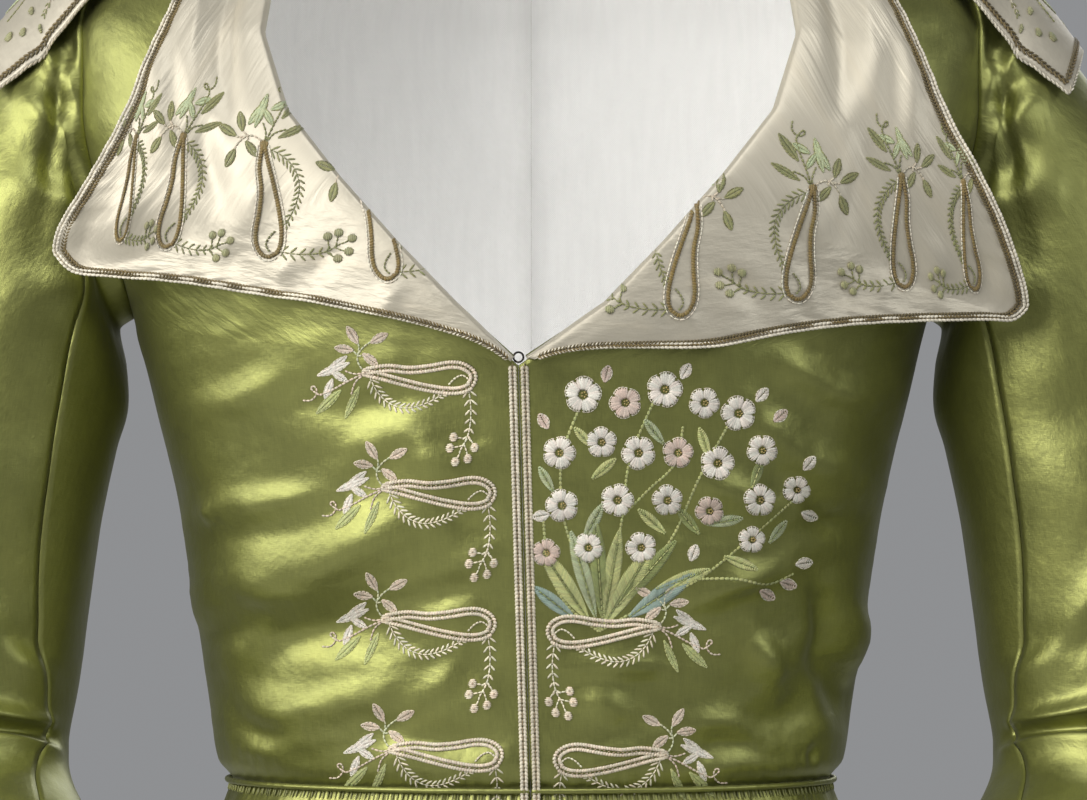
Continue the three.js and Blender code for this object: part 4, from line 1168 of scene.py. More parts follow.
class Needle:
    """Collects stitches for one embroidered piece. Local lengths are millimetres."""

    def __init__(self, ground, seed=1):
        self.ground, self.stitches = ground, []
        self.rng = np.random.default_rng(seed)
        self.spread = 1.0  # longer stitches where the work is seen less closely
        self.frame((0, 0))

    def frame(self, origin, turn=0.0, mirror=1, scale=1.0, narrow=1.0):
        """Where the next motif is drawn: origin, turn in degrees, 1 or -1 to mirror it, size and breadth."""
        self.narrow = narrow
        self.origin, self.mirror, self.scale = origin, mirror, scale
        self.cos, self.sin = math.cos(math.radians(turn)), math.sin(math.radians(turn))
        return self

    def out(self, a, b):
        x, y = a * self.scale * self.mirror, b * self.scale * self.narrow
        return self.origin[0] + x * self.cos - y * self.sin, self.origin[1] + x * self.sin + y * self.cos

    def stitch(self, start, end, width, high, silk, lift=0.0):
        """One stitch between two local points."""
        a, b = self.out(*start), self.out(*end)
        first, last = self.ground.at(*a), self.ground.at(*b)
        if first is None or last is None:
            return
        along = last[0] - first[0]
        length = float(np.linalg.norm(along))
        if not 1e-5 < length < 0.03:
            return
        normal = unit(first[1] + last[1])
        colour = np.array(SILKS[silk] if isinstance(silk, str) else silk)
        colour = colour * self.rng.uniform(0.86, 1.14) * np.array([1 + self.rng.uniform(-0.05, 0.05), 1, 1])
        middle = (first[0] + last[0]) / 2 + normal * (lift + high * 0.3) / 1000
        self.stitches.append(
            (middle, along / length, normal, (length * 1.1, width * self.scale / 1000, high / 1000), colour)
        )

    def line(self, points, silk, width, step, high=0.7, slant=0.0, offset=0.0, lift=0.0, every=1):
        """Stem stitches along a smooth line."""
        curve = np.array(points, float)
        total = spacing(curve)[-1]
        count = max(1, round(total / step / self.spread))
        at = flat_through(curve, np.linspace(0, 1, count + 1))
        run = unit(np.gradient(at, axis=0)) if count > 1 else unit(np.diff(at, axis=0)).repeat(2, 0)
        side = np.column_stack([-run[:, 1], run[:, 0]])
        at = at + side * offset
        for k in range(0, count, every):
            tilt = side[k] * slant
            self.stitch(at[k] - tilt, at[k + 1] + tilt, width, high, silk, lift)

    def cord(self, points, silk, wide, step, mark, edge, lift):
        """A laid cord of slanted stitches in one row, or two where it is wide, with ticks between them."""
        if wide > LOOP_CORD:
            for sign in (1, -1):
                self.line(points, silk, wide * 0.34, step, 0.95, sign * wide * 0.15, sign * wide * 0.24, lift)
        else:
            self.line(points, silk, wide * 0.48, step, 1.0, wide * 0.3, 0, lift)
        if mark:
            self.line(points, mark, 0.42, 0.85, 0.55, 0, 0, lift + 0.42, every=2)
        if edge:
            self.line(points, edge, 0.6, 1.6, 0.55, 0, wide * 0.58, lift)

    def leaf(self, centre, angle, length, width, silk, rim, vein=None, gap=0.62):
        """A leaf of slanted satin stitches either side of its vein."""
        c, s = math.cos(math.radians(angle)), math.sin(math.radians(angle))

        def local(a, b):
            return centre[0] + a * c - b * s, centre[1] + a * s + b * c

        gap = gap * self.spread
        steps = max(4, int(length / gap))
        for k in range(steps):
            t = (k + 0.5) / steps
            a = (t - 0.5) * length
            half = width / 2 * math.sin(math.pi * min(1, t * 0.96 + 0.02)) ** 0.75
            for sign in (1, -1):
                tip = local(a + half * 0.35, sign * half * 0.98)
                self.stitch(local(a - half * 0.55, 0), tip, gap * 1.25, 0.55, silk)
        if rim:
            for sign in (1, -1):
                edge = [
                    local((t - 0.5) * length, sign * (width / 2 + 0.15) * math.sin(math.pi * t) ** 0.75)
                    for t in np.linspace(0.0, 1, 6)
                ]
                self.line(edge, rim, 0.55, 1.7, 0.5)
        if vein:
            self.line([local(-length * 0.5, 0), local(length * 0.36, 0)], vein, 0.5, 2.2, 0.7, lift=0.2)

    def berry(self, centre, radius, silk, spot=None):
        """A round berry of short parallel stitches, padded in the middle."""
        for k in range(-2, 3):
            off = k * radius * 0.36
            half = math.sqrt(max((radius * 0.95) ** 2 - off**2, 0.05))
            start, end = ((centre[0] + sign * half, centre[1] + off + sign * 0.12 * half) for sign in (-1, 1))
            self.stitch(start, end, radius * 0.52, 1.0, silk, 0.3 * (1 - abs(k) / 2))
        if spot:
            self.stitch((centre[0] - 0.4, centre[1]), (centre[0] + 0.5, centre[1] + 0.2), 0.6, 0.6, spot, 0.8)

    def blossom(self, centre, radius, silk, heart, petals, turn, rim):
        """A flower of heart-shaped petals, each a fan of stitches from the middle."""

        def around(reach, angle):
            return centre[0] + reach * math.cos(angle), centre[1] + reach * math.sin(angle)

        for k in range(petals):
            base = turn + 360 * k / petals
            for j in range(-3, 4):
                angle = math.radians(base + j * 150 / petals / 3.4)
                reach = radius * (0.98 - 0.12 * abs(j) / 3 - (0.1 if j == 0 else 0))
                self.stitch(around(radius * 0.26, angle), around(reach, angle), radius * 0.24, 0.8, silk, 0.3)
            if rim:
                arc = [
                    around((radius - 0.3) * (1 - 0.1 * (j / 3) ** 2), math.radians(base + j * 11))
                    for j in range(-3, 4)
                ]
                self.line(arc, rim, 0.5, 1.5, 0.45)
        for k in range(5):
            at = around(radius * 0.12, 2 * math.pi * k / 5)
            self.stitch(at, (at[0] + 0.7, at[1] + 0.1), 0.7, 0.9, heart, 0.3)

    def fern(self, points, stem, silk, long, apart):
        """A stem with pairs of short leaflets along it."""
        self.line(points, stem, 0.6, 2.0, 0.6)
        curve = np.array(points, float)
        total = spacing(curve)[-1]
        count = max(2, int(total / apart / self.spread**0.5))
        at = flat_through(curve, np.linspace(0.04, 1, count))
        run = unit(np.gradient(at, axis=0))
        for k in range(count):
            for sign in (1, -1):
                side = np.array([-run[k][1], run[k][0]]) * sign
                shrink = 1 - 0.45 * k / count
                tip = at[k] + (side * 0.8 + run[k] * 0.75) * long * shrink
                self.stitch(at[k] + side * 0.25, tip, 0.85, 0.55, silk)

    def sew(self, name, far=False):
        """Turns the collected stitches into one piece through the stitch nodes."""
        make_stitches(name, self.stitches, far=far)


def stitch_nodes():
    """Geometry nodes that set one padded stitch on every point, turned and sized as the point says."""
    tree = bpy.data.node_groups.get("stitches")
    if tree:
        return tree
    tree = bpy.data.node_groups.new("stitches", "GeometryNodeTree")
    tree.is_modifier = True
    face = tree.interface
    face.new_socket("Points", in_out="INPUT", socket_type="NodeSocketGeometry")
    for name, kind, usual in (("Sides", "Int", 6), ("Rings", "Int", 4), ("Fullness", "Float", 1.0)):
        face.new_socket(name, in_out="INPUT", socket_type="NodeSocket" + kind).default_value = usual
    face.new_socket("Thread", in_out="INPUT", socket_type="NodeSocketMaterial")
    face.new_socket("Stitches", in_out="OUTPUT", socket_type="NodeSocketGeometry")

    def node(kind, settings=None, inputs=None):
        made = tree.nodes.new(kind)
        for key, value in (settings or {}).items():
            setattr(made, key, value)
        for key, value in (inputs or {}).items():
            if isinstance(value, bpy.types.NodeSocket):
                tree.links.new(value, made.inputs[key])
            else:
                made.inputs[key].default_value = value
        return made

    given = node("NodeGroupInput")
    bead = node(
        "GeometryNodeMeshUVSphere",
        inputs={"Segments": given.outputs["Sides"], "Rings": given.outputs["Rings"], "Radius": 0.5},
    )
    soft = node("GeometryNodeSetShadeSmooth", inputs={"Geometry": bead.outputs["Mesh"]})

    def carried(name):
        kind = {"data_type": "FLOAT_VECTOR"}
        return node("GeometryNodeInputNamedAttribute", kind, {"Name": name}).outputs["Attribute"]

    turned = node(
        "FunctionNodeAxesToRotation",
        {"primary_axis": "X", "secondary_axis": "Z"},
        {"Primary Axis": carried("along"), "Secondary Axis": carried("out")},
    )
    grown = node(
        "ShaderNodeVectorMath", {"operation": "SCALE"}, {0: carried("size"),
        "Scale": given.outputs["Fullness"]}
    )
    placed = node(
        "GeometryNodeInstanceOnPoints",
        inputs={
            "Points": given.outputs["Points"],
            "Instance": soft.outputs["Geometry"],
            "Rotation": turned.outputs["Rotation"],
            "Scale": grown.outputs["Vector"],
        },
    )
    real = node("GeometryNodeRealizeInstances", inputs={"Geometry": placed.outputs["Instances"]})
    thread = {"Geometry": real.outputs["Geometry"], "Material": given.outputs["Thread"]}
    dressed = node("GeometryNodeSetMaterial", inputs=thread)
    node("NodeGroupOutput", inputs={"Stitches": dressed.outputs["Geometry"]})
    return tree


def make_stitches(name, stitches, with_nodes=(), far=False):
    """One plain mesh of all the stitches of a piece, with fewer sides to each where it is seen from afar."""
    if not stitches:
        raise RuntimeError(f"{name}: no stitch found any cloth")
    tree = stitch_nodes()
    sizes = bpy.context.scene.redingote_embroidery
    mesh = bpy.data.meshes.new(name + " points")
    mesh.from_pydata([tuple(map(float, s[0])) for s in stitches], [], [])
    for key, index in (("along", 1), ("out", 2), ("size", 3)):
        layer = mesh.attributes.new(key, "FLOAT_VECTOR", "POINT")
        layer.data.foreach_set("vector", np.array([s[index] for s in stitches], np.float32).ravel())
    dyes = mesh.attributes.new("thread", "FLOAT_COLOR", "POINT")
    colours = np.array([(*np.clip(s[4], 0, 1), 1.0) for s in stitches], np.float32)
    dyes.data.foreach_set("color", colours.ravel())
    carrier = new_object(name, mesh)
    modifier = carrier.modifiers.new("Stitches", "NODES")
    modifier.node_group = tree
    sockets = {item.name: item.identifier for item in tree.interface.items_tree if item.in_out == "INPUT"}
    modifier[sockets["Sides"]] = sizes.far_sides if far else sizes.sides
    modifier[sockets["Rings"]] = sizes.far_rings if far else sizes.rings
    modifier[sockets["Fullness"]] = sizes.fullness
    modifier[sockets["Thread"]] = finish("embroidery silk")
    bpy.context.view_layer.update()
    ready = carrier.evaluated_get(bpy.context.evaluated_depsgraph_get())
    sewn = bpy.data.meshes.new_from_object(ready)
    carrier.modifiers.remove(modifier)
    carrier.data = sewn
    sewn.name = name
    bpy.data.meshes.remove(mesh)
    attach(carrier, "root")
    if with_nodes:
        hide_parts(*with_nodes)


# --- sizes and colours that a user would change ---


def colour_property(name, description, default):
    return FloatVectorProperty(
        name=name, description=description, default=default, subtype="COLOR", size=3, min=0.0, max=1.0
    )


def share_property(name, description, default, most=1):
    return FloatProperty(
        name=name, description=description, default=default, min=0, max=most, subtype="FACTOR"
    )


def count_property(name, description, default, least, most):
    return IntProperty(name=name, description=description, default=default, min=least, max=most)


def length_property(name, description, default, least, most):
    return FloatProperty(
        name=name, description=description, default=default, min=least, max=most,
        subtype="DISTANCE", unit="LENGTH",
    )


def power_property(name, description, default):
    return FloatProperty(
        name=name, description=description, default=default, min=0, subtype="POWER", unit="POWER"
    )


class RedingoteFinishes(bpy.types.PropertyGroup):
    """Colours and shine of the cloths."""

    green: colour_property("Green satin", "Colour of the body's satin", (0.258, 0.270, 0.078))
    green_shine: share_property("Green shine", "How metallic the green satin looks", 0.84)
    green_roughness: share_property("Green roughness", "How far the green satin spreads a highlight", 0.41)
    ivory: colour_property("Ivory satin", "Colour of the collar and the epaulettes", (0.525, 0.483, 0.385))
    ivory_shine: share_property("Ivory shine", "How metallic the ivory satin looks", 0.42)
    ivory_roughness: share_property("Ivory roughness", "How far the ivory satin spreads a highlight", 0.45)
    lining: colour_property("Lining", "Colour of the undyed linen lining", (0.93, 0.925, 0.905))


class RedingoteEmbroidery(bpy.types.PropertyGroup):
    """Sizes of the stitches."""

    sides: count_property("Sides", "Sides of one padded stitch", 6, 4, 12)
    rings: count_property("Rings", "Rings of one padded stitch", 4, 3, 8)
    far_sides: count_property("Skirt sides", "Sides of a stitch on the skirt", 5, 4, 12)
    far_rings: count_property("Skirt rings", "Rings of a stitch on the skirt", 3, 3, 8)
    fullness: FloatProperty(
        name="Fullness", description="How plump the stitches are", default=1.0, min=0.5, max=1.5,
        subtype="FACTOR"
    )
    braid_step: length_property("Braid step", "Length that the links of every braid follow", 0.0024,
        0.001, 0.01)
    whip_step: length_property(
        "Whip step", "Distance between the stitches under the waist cord", 0.0018, 0.001, 0.01
    )


class RedingoteStage(bpy.types.PropertyGroup):
    """The camera and lights."""

    key_power: power_property("Key light", "Power of the main softbox", 57.0)
    fill_power: power_property("Fill light", "Power of the softer light", 16.0)
    surround: share_property("Surround", "Brightness of the room's even light", 0.15, 3)
    lens: length_property("Lens", "Focal length of the camera", 0.2179, 0.02, 0.6)


# --- operators ---


def rows_of(*spans):
    """Grid lines over spans of (from, to, count)."""
    lines = [np.linspace(a, b, n + 1)[(1 if k else 0) :] for k, (a, b, n) in enumerate(spans)]
    return np.concatenate(lines)


def green_piece(name, node, p, n, side):
    cloth_piece(
        name, node, p, n, side, CLOTH, finish("green satin"), finish("linen lining"),
    )


class MakeBodice(bpy.types.Operator):
    """Make the two fronts and two backs of the bodice"""

    bl_idname = "redingote.make_bodice"
    bl_label = "Make bodice"

    def execute(self, context):
        for word, side in SIDES:
            u, v = np.meshgrid(
                rows_of((0, 0.06, 7), (0.06, 1, 92)), rows_of((0, 0.05, 14), (0.05, BREAK, 58),
                    (BREAK, 1, 48))
            )
            p, n = front_surface(word, u, v)
            green_piece(f"bodice_front_{word}", f"front_{word}", p, n, side)
        for word, side in SIDES:
            u, v = np.meshgrid(np.linspace(0, 1, 61), rows_of((0, BREAK, 48), (BREAK, 1, 48)))
            p, n = back_surface(u, v)
            green_piece(f"bodice_back_{word}", f"back_{word}", p, n, side)
        return {"FINISHED"}


class MakeSleeves(bpy.types.Operator):
    """Make the two-piece sleeves with their creases at the shoulder and elbow"""

    bl_idname = "redingote.make_sleeves"
    bl_label = "Make sleeves"

    def execute(self, context):
        rings = rows_of((0, 0.5, 12), (0.5, 4, 50), (4, 7, 26), (7, 11, 56), (11, 14, 26))
        for word, side in SIDES:
            for part, columns in (("upper", 78), ("under", 36)):
                u, ring = np.meshgrid(np.linspace(0, 1, columns + 1), rings)
                seam = np.radians(smooth(FRONT_SEAM, "ring", "turn", ring))
                if part == "upper":
                    turn = lerp(seam + SEAM_TURN, BACK_SEAM - SEAM_TURN, u)
                else:
                    turn = lerp(BACK_SEAM - 2 * np.pi + SEAM_TURN, seam - SEAM_TURN, u)
                p, n = sleeve_surface(turn, ring)
                # the head is tucked under the edge of the armhole
                hole = armhole(np.mod(turn, 2 * np.pi))
                under = trunk(*hole) - trunk_normal(*hole) * 0.9
                outer = lerp(p - n * CLOTH, under, np.exp(-ring * 20)[..., None])
                p, n = outer[::-1], -n[::-1]
                green_piece(
                    f"sleeve_{part}_cloth_{word}", f"sleeve_{part}_{word}", p, n, side,
                )
        return {"FINISHED"}


class MakeCollar(bpy.types.Operator):
    """Make the turned-back lapels and shawl collar"""

    bl_idname = "redingote.make_collar"
    bl_label = "Make collar"

    def execute(self, context):
        for word, side in SIDES:
            share, across = np.meshgrid(
                rows_of(
                    (0, 0.09, 24), (0.09, POINT_AT, 34), (POINT_AT, SHOULDER_AT, 70),
                    (SHOULDER_AT + 0.002, 1, 30)
                ),
                rows_of((0, STAND_SHARE, 8), (STAND_SHARE, 1, 44)),
            )
            p, n = collar_surface(word, share, across)
            cloth_piece(
                f"collar_satin_{word}", f"collar_{word}", p[::-1], n[::-1], side, CLOTH * 0.8,
                finish("ivory satin"), finish("green satin"),
            )
        return {"FINISHED"}


class MakeEpaulettes(bpy.types.Operator):
    """Make the shaped flaps over the shoulders"""

    bl_idname = "redingote.make_epaulettes"
    bl_label = "Make epaulettes"

    def execute(self, context):
        for word, side in SIDES:
            along, across = np.meshgrid(np.linspace(0, 1, 46), np.linspace(-1, 1, 61))
            p, n = epaulette_surface(along, across)
            cloth_piece(
                f"epaulette_satin_{word}", f"epaulette_{word}", p, n, side, CLOTH, finish("ivory satin"),
                finish("green satin"),
            )
        return {"FINISHED"}


class MakeSkirt(bpy.types.Operator):
    """Make the six gores of the skirt"""

    bl_idname = "redingote.make_skirt"
    bl_label = "Make skirt"

    def execute(self, context):
        for word, side in SIDES:
            for gore, start, end, columns in GORES:
                u, z = np.meshgrid(
                    np.linspace(0, 1, columns + 1),
                    rows_of((-0.4, -16, 14), (-16, -70, 16), (-70, -300, 16), (-300, -1000, 26))[::-1],
                )
                p, n = skirt_surface(side, start, end, u, z)
                green_piece(
                    f"skirt_{gore}_cloth_{word}", f"skirt_{gore}_{word}", p, n, side
                )
        return {"FINISHED"}


def braid_stitches(points, outs, wide, step, light, dark=None, high=1.0, seed=5, slant=0.2, vein=None):
    """Two rows of links along a line in metres, with a thin line between them if asked."""
    rng = np.random.default_rng(seed)
    points, outs = np.asarray(points), unit(np.asarray(outs))
    run = spacing(points)
    count = int(run[-1] / step)
    at = np.linspace(0, run[-1], count + 1)
    line, out = along_rows(at, run, points), unit(along_rows(at, run, outs))
    along = unit(np.gradient(line, axis=0))
    across = np.cross(along, out)
    made = []
    for k in range(count):
        for sign in (1, -1):
            a = line[k] + across[k] * sign * wide * (0.24 - slant)
            b = line[k + 1] + across[k] * sign * wide * (0.24 + slant)
            d = b - a
            length = np.linalg.norm(d)
            colour = np.array(light if sign > 0 or dark is None else dark) * rng.uniform(0.85, 1.15)
            made.append(((a + b) / 2, d / length, out[k], (length * 1.45, wide * 0.42, high / 1000), colour))
        if vein is not None and k % 2 == 0:
            size = (step * 2.2, wide * 0.13, high / 1250)
            made.append((line[k] + out[k] * high / 4000, along[k], out[k], size, np.array(vein)))
    return made


class MakeTrimmings(bpy.types.Operator):
    """Make the braids of the edges, the waist cord and the stitches under it"""

    bl_idname = "redingote.make_trimmings"
    bl_label = "Make trimmings"

    def execute(self, context):
        step = context.scene.redingote_embroidery.braid_step
        for word, side in SIDES:
            self.front_braid(word, side, step)
            self.collar_braid(word, side, step)
            self.epaulette_braid(word, side, step)
        self.waist(context)
        return {"FINISHED"}

    def front_braid(self, word, side, step):
        v = np.linspace(BREAK * 0.998, 0.012, 60)
        z = -np.concatenate([np.linspace(5, 60, 20), np.linspace(70, 999, 90)])

        def bodice(u):
            return front_surface(word, np.full(len(v), u), v)

        def skirt(u):
            return skirt_surface(side, *GORES[0][1:3], np.full(len(z), u), z)

        points, outs = [], []
        for surface in (bodice, skirt):
            (edge, n0), (inner, n1) = surface(0.0), surface(0.05)
            reach = np.linalg.norm(inner - edge, axis=-1, keepdims=True)
            points.append(edge + (inner - edge) * FRONT_BRAID_IN / reach)
            outs.append(unit(n0 + n1))
        points, outs = np.concatenate(points), np.concatenate(outs)
        over = np.exp(-((points[:, 2] / 4.0) ** 2))[:, None] * 2.2  # the braid rides over the waist cord
        points = to_metres(points + outs * (0.5 + over), side)
        outs = outs * np.array([side, 1, 1])
        # painted shade: the braid on the wearer's left front is given a darker colour than on the wearer's
        # right, for the shade that side of the coat stands in
        light = (0.74, 0.67, 0.52) if word == "right" else (0.66, 0.59, 0.44)
        split = len(v) + 8  # the links are longer on the skirt
        made = []
        for part, link in ((slice(0, split + 1), step * 0.62), (slice(split, None), step)):
            made += braid_stitches(
                points[part], outs[part], 0.0036, link, light, None, 0.9, 5, 0.07, (0.30, 0.22, 0.12)
            )
        make_stitches(f"edge_braid_{word}", made, (f"front_braid_{word}",))

    def collar_braid(self, word, side, step):
        share = rows_of(
            (0.004, 0.09, 24), (0.09, POINT_AT, 40), (POINT_AT, SHOULDER_AT, 70), (SHOULDER_AT, 0.998, 30)
        )
        inner, n0 = collar_surface(word, share, np.full(len(share), 0.93))
        outer, n1 = collar_surface(word, share, np.ones(len(share)))
        reach = np.linalg.norm(inner - outer, axis=-1, keepdims=True)
        n = unit(n0 + n1)
        flip = np.array([side, 1, 1])
        line = outer + (inner - outer) * np.minimum(BRAID_IN / reach, 1) + n * 0.3
        made = braid_stitches(
            to_metres(line, side), n * flip, 0.0024, step * 0.55, SILKS["brown"], SILKS["olive"], 1.0
        )
        make_stitches(f"lapel_braid_{word}", made, (f"collar_braid_{word}",))
        rim = outer + (inner - outer) * np.minimum(RIM_IN / reach, 1) + n * 0.1
        cord = braid_stitches(
            to_metres(rim, side), n * flip, 0.0030, 0.0018, SILKS["ivory"], SILKS["ivory"], 1.3, 9, 0.05
        )
        make_stitches(f"lapel_edge_cord_{word}", cord)

    def epaulette_braid(self, word, side, step):
        for name, inset, tip, lift, slot, light, dark, wide, high, nodes in (
            ("trim", 0.92, 0.955, 0.4, "brown_braid", "brown", "olive", 0.0026, 0.9, ("epaulette_braid_",)),
            ("edge_cord", 1.0, 1.0, -0.5, "ivory_cord", "ivory", "buff", 0.0019, 1.2, ()),
        ):
            along = np.concatenate([np.linspace(0.03, tip, 40), np.full(50, tip), np.linspace(tip, 0.03, 40)])
            across = np.concatenate([np.full(40, -inset), np.linspace(-inset, inset, 50), np.full(40, inset)])
            p, n = epaulette_surface(along, across)
            made = braid_stitches(
                to_metres(p + n * lift, side), n * np.array([side, 1, 1]), wide, step * 0.9, SILKS[light],
                SILKS[dark], high, 3,
            )
            make_stitches(f"epaulette_{name}_{word}", made, [node + word for node in nodes])

    def waist(self, context):
        count = 420
        turns = np.linspace(0.004, 2 * np.pi - 0.004, count)
        folded = np.where(turns > np.pi, 2 * np.pi - turns, turns)
        p = trunk(folded, 0 * folded)
        n = unit(trunk_normal(folded, 0 * folded) * np.array([1, 1, 0]))
        p = p + n * (PIPING_R + 3 * GAP)
        p[:, 2] = -GAP / 2
        flip = np.where(turns > np.pi, -1.0, 1.0)[:, None] * np.array([1.0, 0, 0]) + np.array([0, 1.0, 1.0])
        p, n = p * flip, n * flip
        thick = 2.3e-3 * (1 + 0.06 * np.sin(np.arange(count) * 1.9))
        cord = cord_mesh("waist_cord", to_metres(p), n, thick, 10, finish("green satin"))
        piece = new_object("waist_cord", cord)
        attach(piece, "root")
        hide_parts("waist_piping")
        # whip stitches that hold the gathered skirt to the cord
        rng = np.random.default_rng(12)
        step = context.scene.redingote_embroidery.whip_step
        made = []
        for _, side in SIDES:
            for _, start, end, _ in GORES:
                count = int((end - start) * 105 / (step * 1000))
                u = (np.arange(count) + 0.5) / count
                top, n0 = skirt_surface(side, start, end, u, np.full(count, -1.4))
                low, n1 = skirt_surface(side, start, end, u + 0.002, np.full(count, -4.6))
                for k in range(count):
                    a, b = to_metres(top[k] + n0[k] * 0.5, side), to_metres(low[k] + n1[k] * 0.15, side)
                    length = np.linalg.norm(b - a)
                    colour = np.array(SILKS["self green"]) * rng.uniform(0.8, 1.2)
                    out = n0[k] * np.array([side, 1, 1])
                    made.append(((a + b) / 2, (b - a) / length, out, (length * 1.1, 0.0007, 0.0006), colour))
        make_stitches("waist_whip_stitches", made)


def frog(needle, silks):
    """One frog: a looped cord to the closing edge, leaves behind it, a fern and hanging berries."""

    def lines(*rows):
        for points, silk, width, step in rows:
            needle.line(points, silks[silk], width, step)

    def leaves(silk, rim, *rows):
        for x, y, angle, length, width in rows:
            needle.leaf((x, y), angle, length, width, silks[silk], silks[rim])

    # a sprig of four leaves
    lines(
        ([(-0.8, 0), (-3.2, 3.2), (-3.6, 6.4), (-1.4, 9.6), (1.4, 11.6)], "stem", 0.85, 1.6), ([(-3.5, 6.6),
        (-3.0, 9.0), (-3.3, 11.0)], "stem", 0.8, 1.5), ([(-3.7, 6.6), (-5.2, 8.2)], "stem", 0.8, 1.5),
        ([(-3.4, 6.2), (-1.9, 6.4)], "stem", 0.8, 1.5),
    )
    leaves(
        "sprig", "rim", (-5.6, 14.2, 122, 8.0, 3.0), (4.6, 13.0, 28, 7.6, 3.0), (-8.8, 8.9, 172, 7.4, 2.9),
        (1.2, 4.9, -38, 7.4, 2.9),
    )
    # the barbed leaf, its stem and the curling tendril
    lines(
        ([(-0.8, 0), (-4.5, -0.6), (-8.4, 0.6)], "tendril", 0.8, 1.5), ([(-1.0, -0.4), (-6.6, -3.0),
        (-13.2, -6.6), (-18.0, -8.6)], "tendril", 0.9, 1.6),
    )
    leaves(
        "arrow", "arrow rim", (-12.8, 1.2, 202, 13.4, 2.8), (-11.6, 2.9, 40, 10.6, 2.6),
        (-10.4, -1.6, -30, 7.0, 2.4), (-14.6, -6.2, 248, 8.2, 2.5),
    )
    curl = [
        (-18.0, -8.6), (-20.2, -7.2), (-21.4, -5.9), (-20.4, -5.0), (-19.2, -6.2), (-19.2, -8.4),
        (-21.2, -10.6), (-24.4, -10.6),
    ]
    lines((curl, "tendril", 0.8, 1.4))
    # long blades
    leaves("blade", "blade rim", (-14.6, -11.2, 224, 13.2, 2.9), (-5.6, -11.4, 246, 13.4, 2.3))
    lines(([(-0.8, -0.6), (-4.4, -3.6), (-6.0, -8.4)], "tendril", 0.8, 1.6))
    # the fern that hangs below the loop
    fern = [(1.2, -2.0), (3.7, -7.0), (8.3, -11.6), (14.7, -13.6), (22.1, -11.9), (28.6, -8.4)]
    needle.fern(fern, silks["fern"], silks["fern"], 3.3, 2.0)
    # the hanging spray at the closing edge
    stem = [(38.6, -6.4), (39.4, -13.0), (39.2, -19.5), (38.2, -24.4), (35.4, -29.6)]
    needle.fern(stem[:4], silks["fern"], silks["fern"], 3.4, 2.6)
    lines((stem[2:], "fern", 0.8, 1.7))
    for x, y, fork in (
        (32.8, -24.6, (37.6, -25.2)), (31.4, -28.8, (36.4, -27.8)), (33.4, -34.0, (35.4, -29.6)),
        (38.2, -32.8, (36.8, -27.4)), (40.8, -28.6, (38.4, -24.2)),
    ):
        lines(([fork, ((x + fork[0]) / 2 + 0.3, (y + fork[1]) / 2), (x, y)], "fern", 0.7, 1.5))
        needle.berry((x, y), 1.8, silks["berry"], silks["mark"])
    # the cord itself, over the leaves: the lower strand of its loop, then the upper
    wide = FROG_CORD if silks["mark"] else LOOP_CORD
    edge = None if silks["mark"] else "ivory"
    for strand, lift in (
        ([(39.4, -5.0), (36, -6.6), (30.4, -6.9), (22, -5.6), (13, -3.4), (5.5, -1.4), (0, -0.2)], 0.15),
        (
            [
                (0, 0.6), (8, 1.7), (16, 1.0), (24, 1.7), (31, 2.9), (36, 2.6), (39.6, 0.4), (40.4, -2.4),
                (39.2, -4.6),
            ],
            0.2,
        ),
    ):
        needle.cord(strand, silks["cord"], wide, 1.0, silks["mark"], edge, lift)
    curl = [(38.6, -2.6), (36.4, -1.0), (33.6, -2.0), (31.0, -4.6)]
    needle.line(curl, silks["fern"], 0.8, 1.4, 0.7, lift=0.3)
    needle.berry((-0.6, 0.1), 1.7, silks["cord"], silks["mark"])


class SewFrogs(bpy.types.Operator):
    """Sew the rows of looped cords and leaves down both fronts"""

    bl_idname = "redingote.sew_frogs"
    bl_label = "Sew frogs"

    def execute(self, context):
        ground = Ground(
            "bodice_front_left", "bodice_front_right", "skirt_front_cloth_left", "skirt_front_cloth_right"
        )
        for word, mirror, seed, rows in (  # the seed and the places, x and height
            ("right", 1, 41, ((-62, 160.5), (-54.7, 116.7), (-54.7, 66.9), (-52, 17.1))),
            ("left", -1, 43, ((47.8, 64), (50.5, 15.2))),
        ):
            needle = Needle(ground, seed)
            for row in rows:
                frog(needle.frame(row, 0, mirror), FROG_SILKS)
            needle.sew(f"frogs_{word}")
        for word, mirror in (("right", 1), ("left", -1)):
            skirt = Needle(ground, 47 + mirror)
            for z in (-33, -85, -140, -198, -259, -323, -390, -460, -533, -609, -688, -770, -855):
                skirt.spread = 1.0 if z > -40 else 2.3
                skirt.frame((mirror * -(51 - 0.013 * z), z), 0, mirror, 1 - z / 3200)
                frog(skirt, FROG_SILKS)
            skirt.sew(f"frogs_skirt_{word}", far=True)
        return {"FINISHED"}


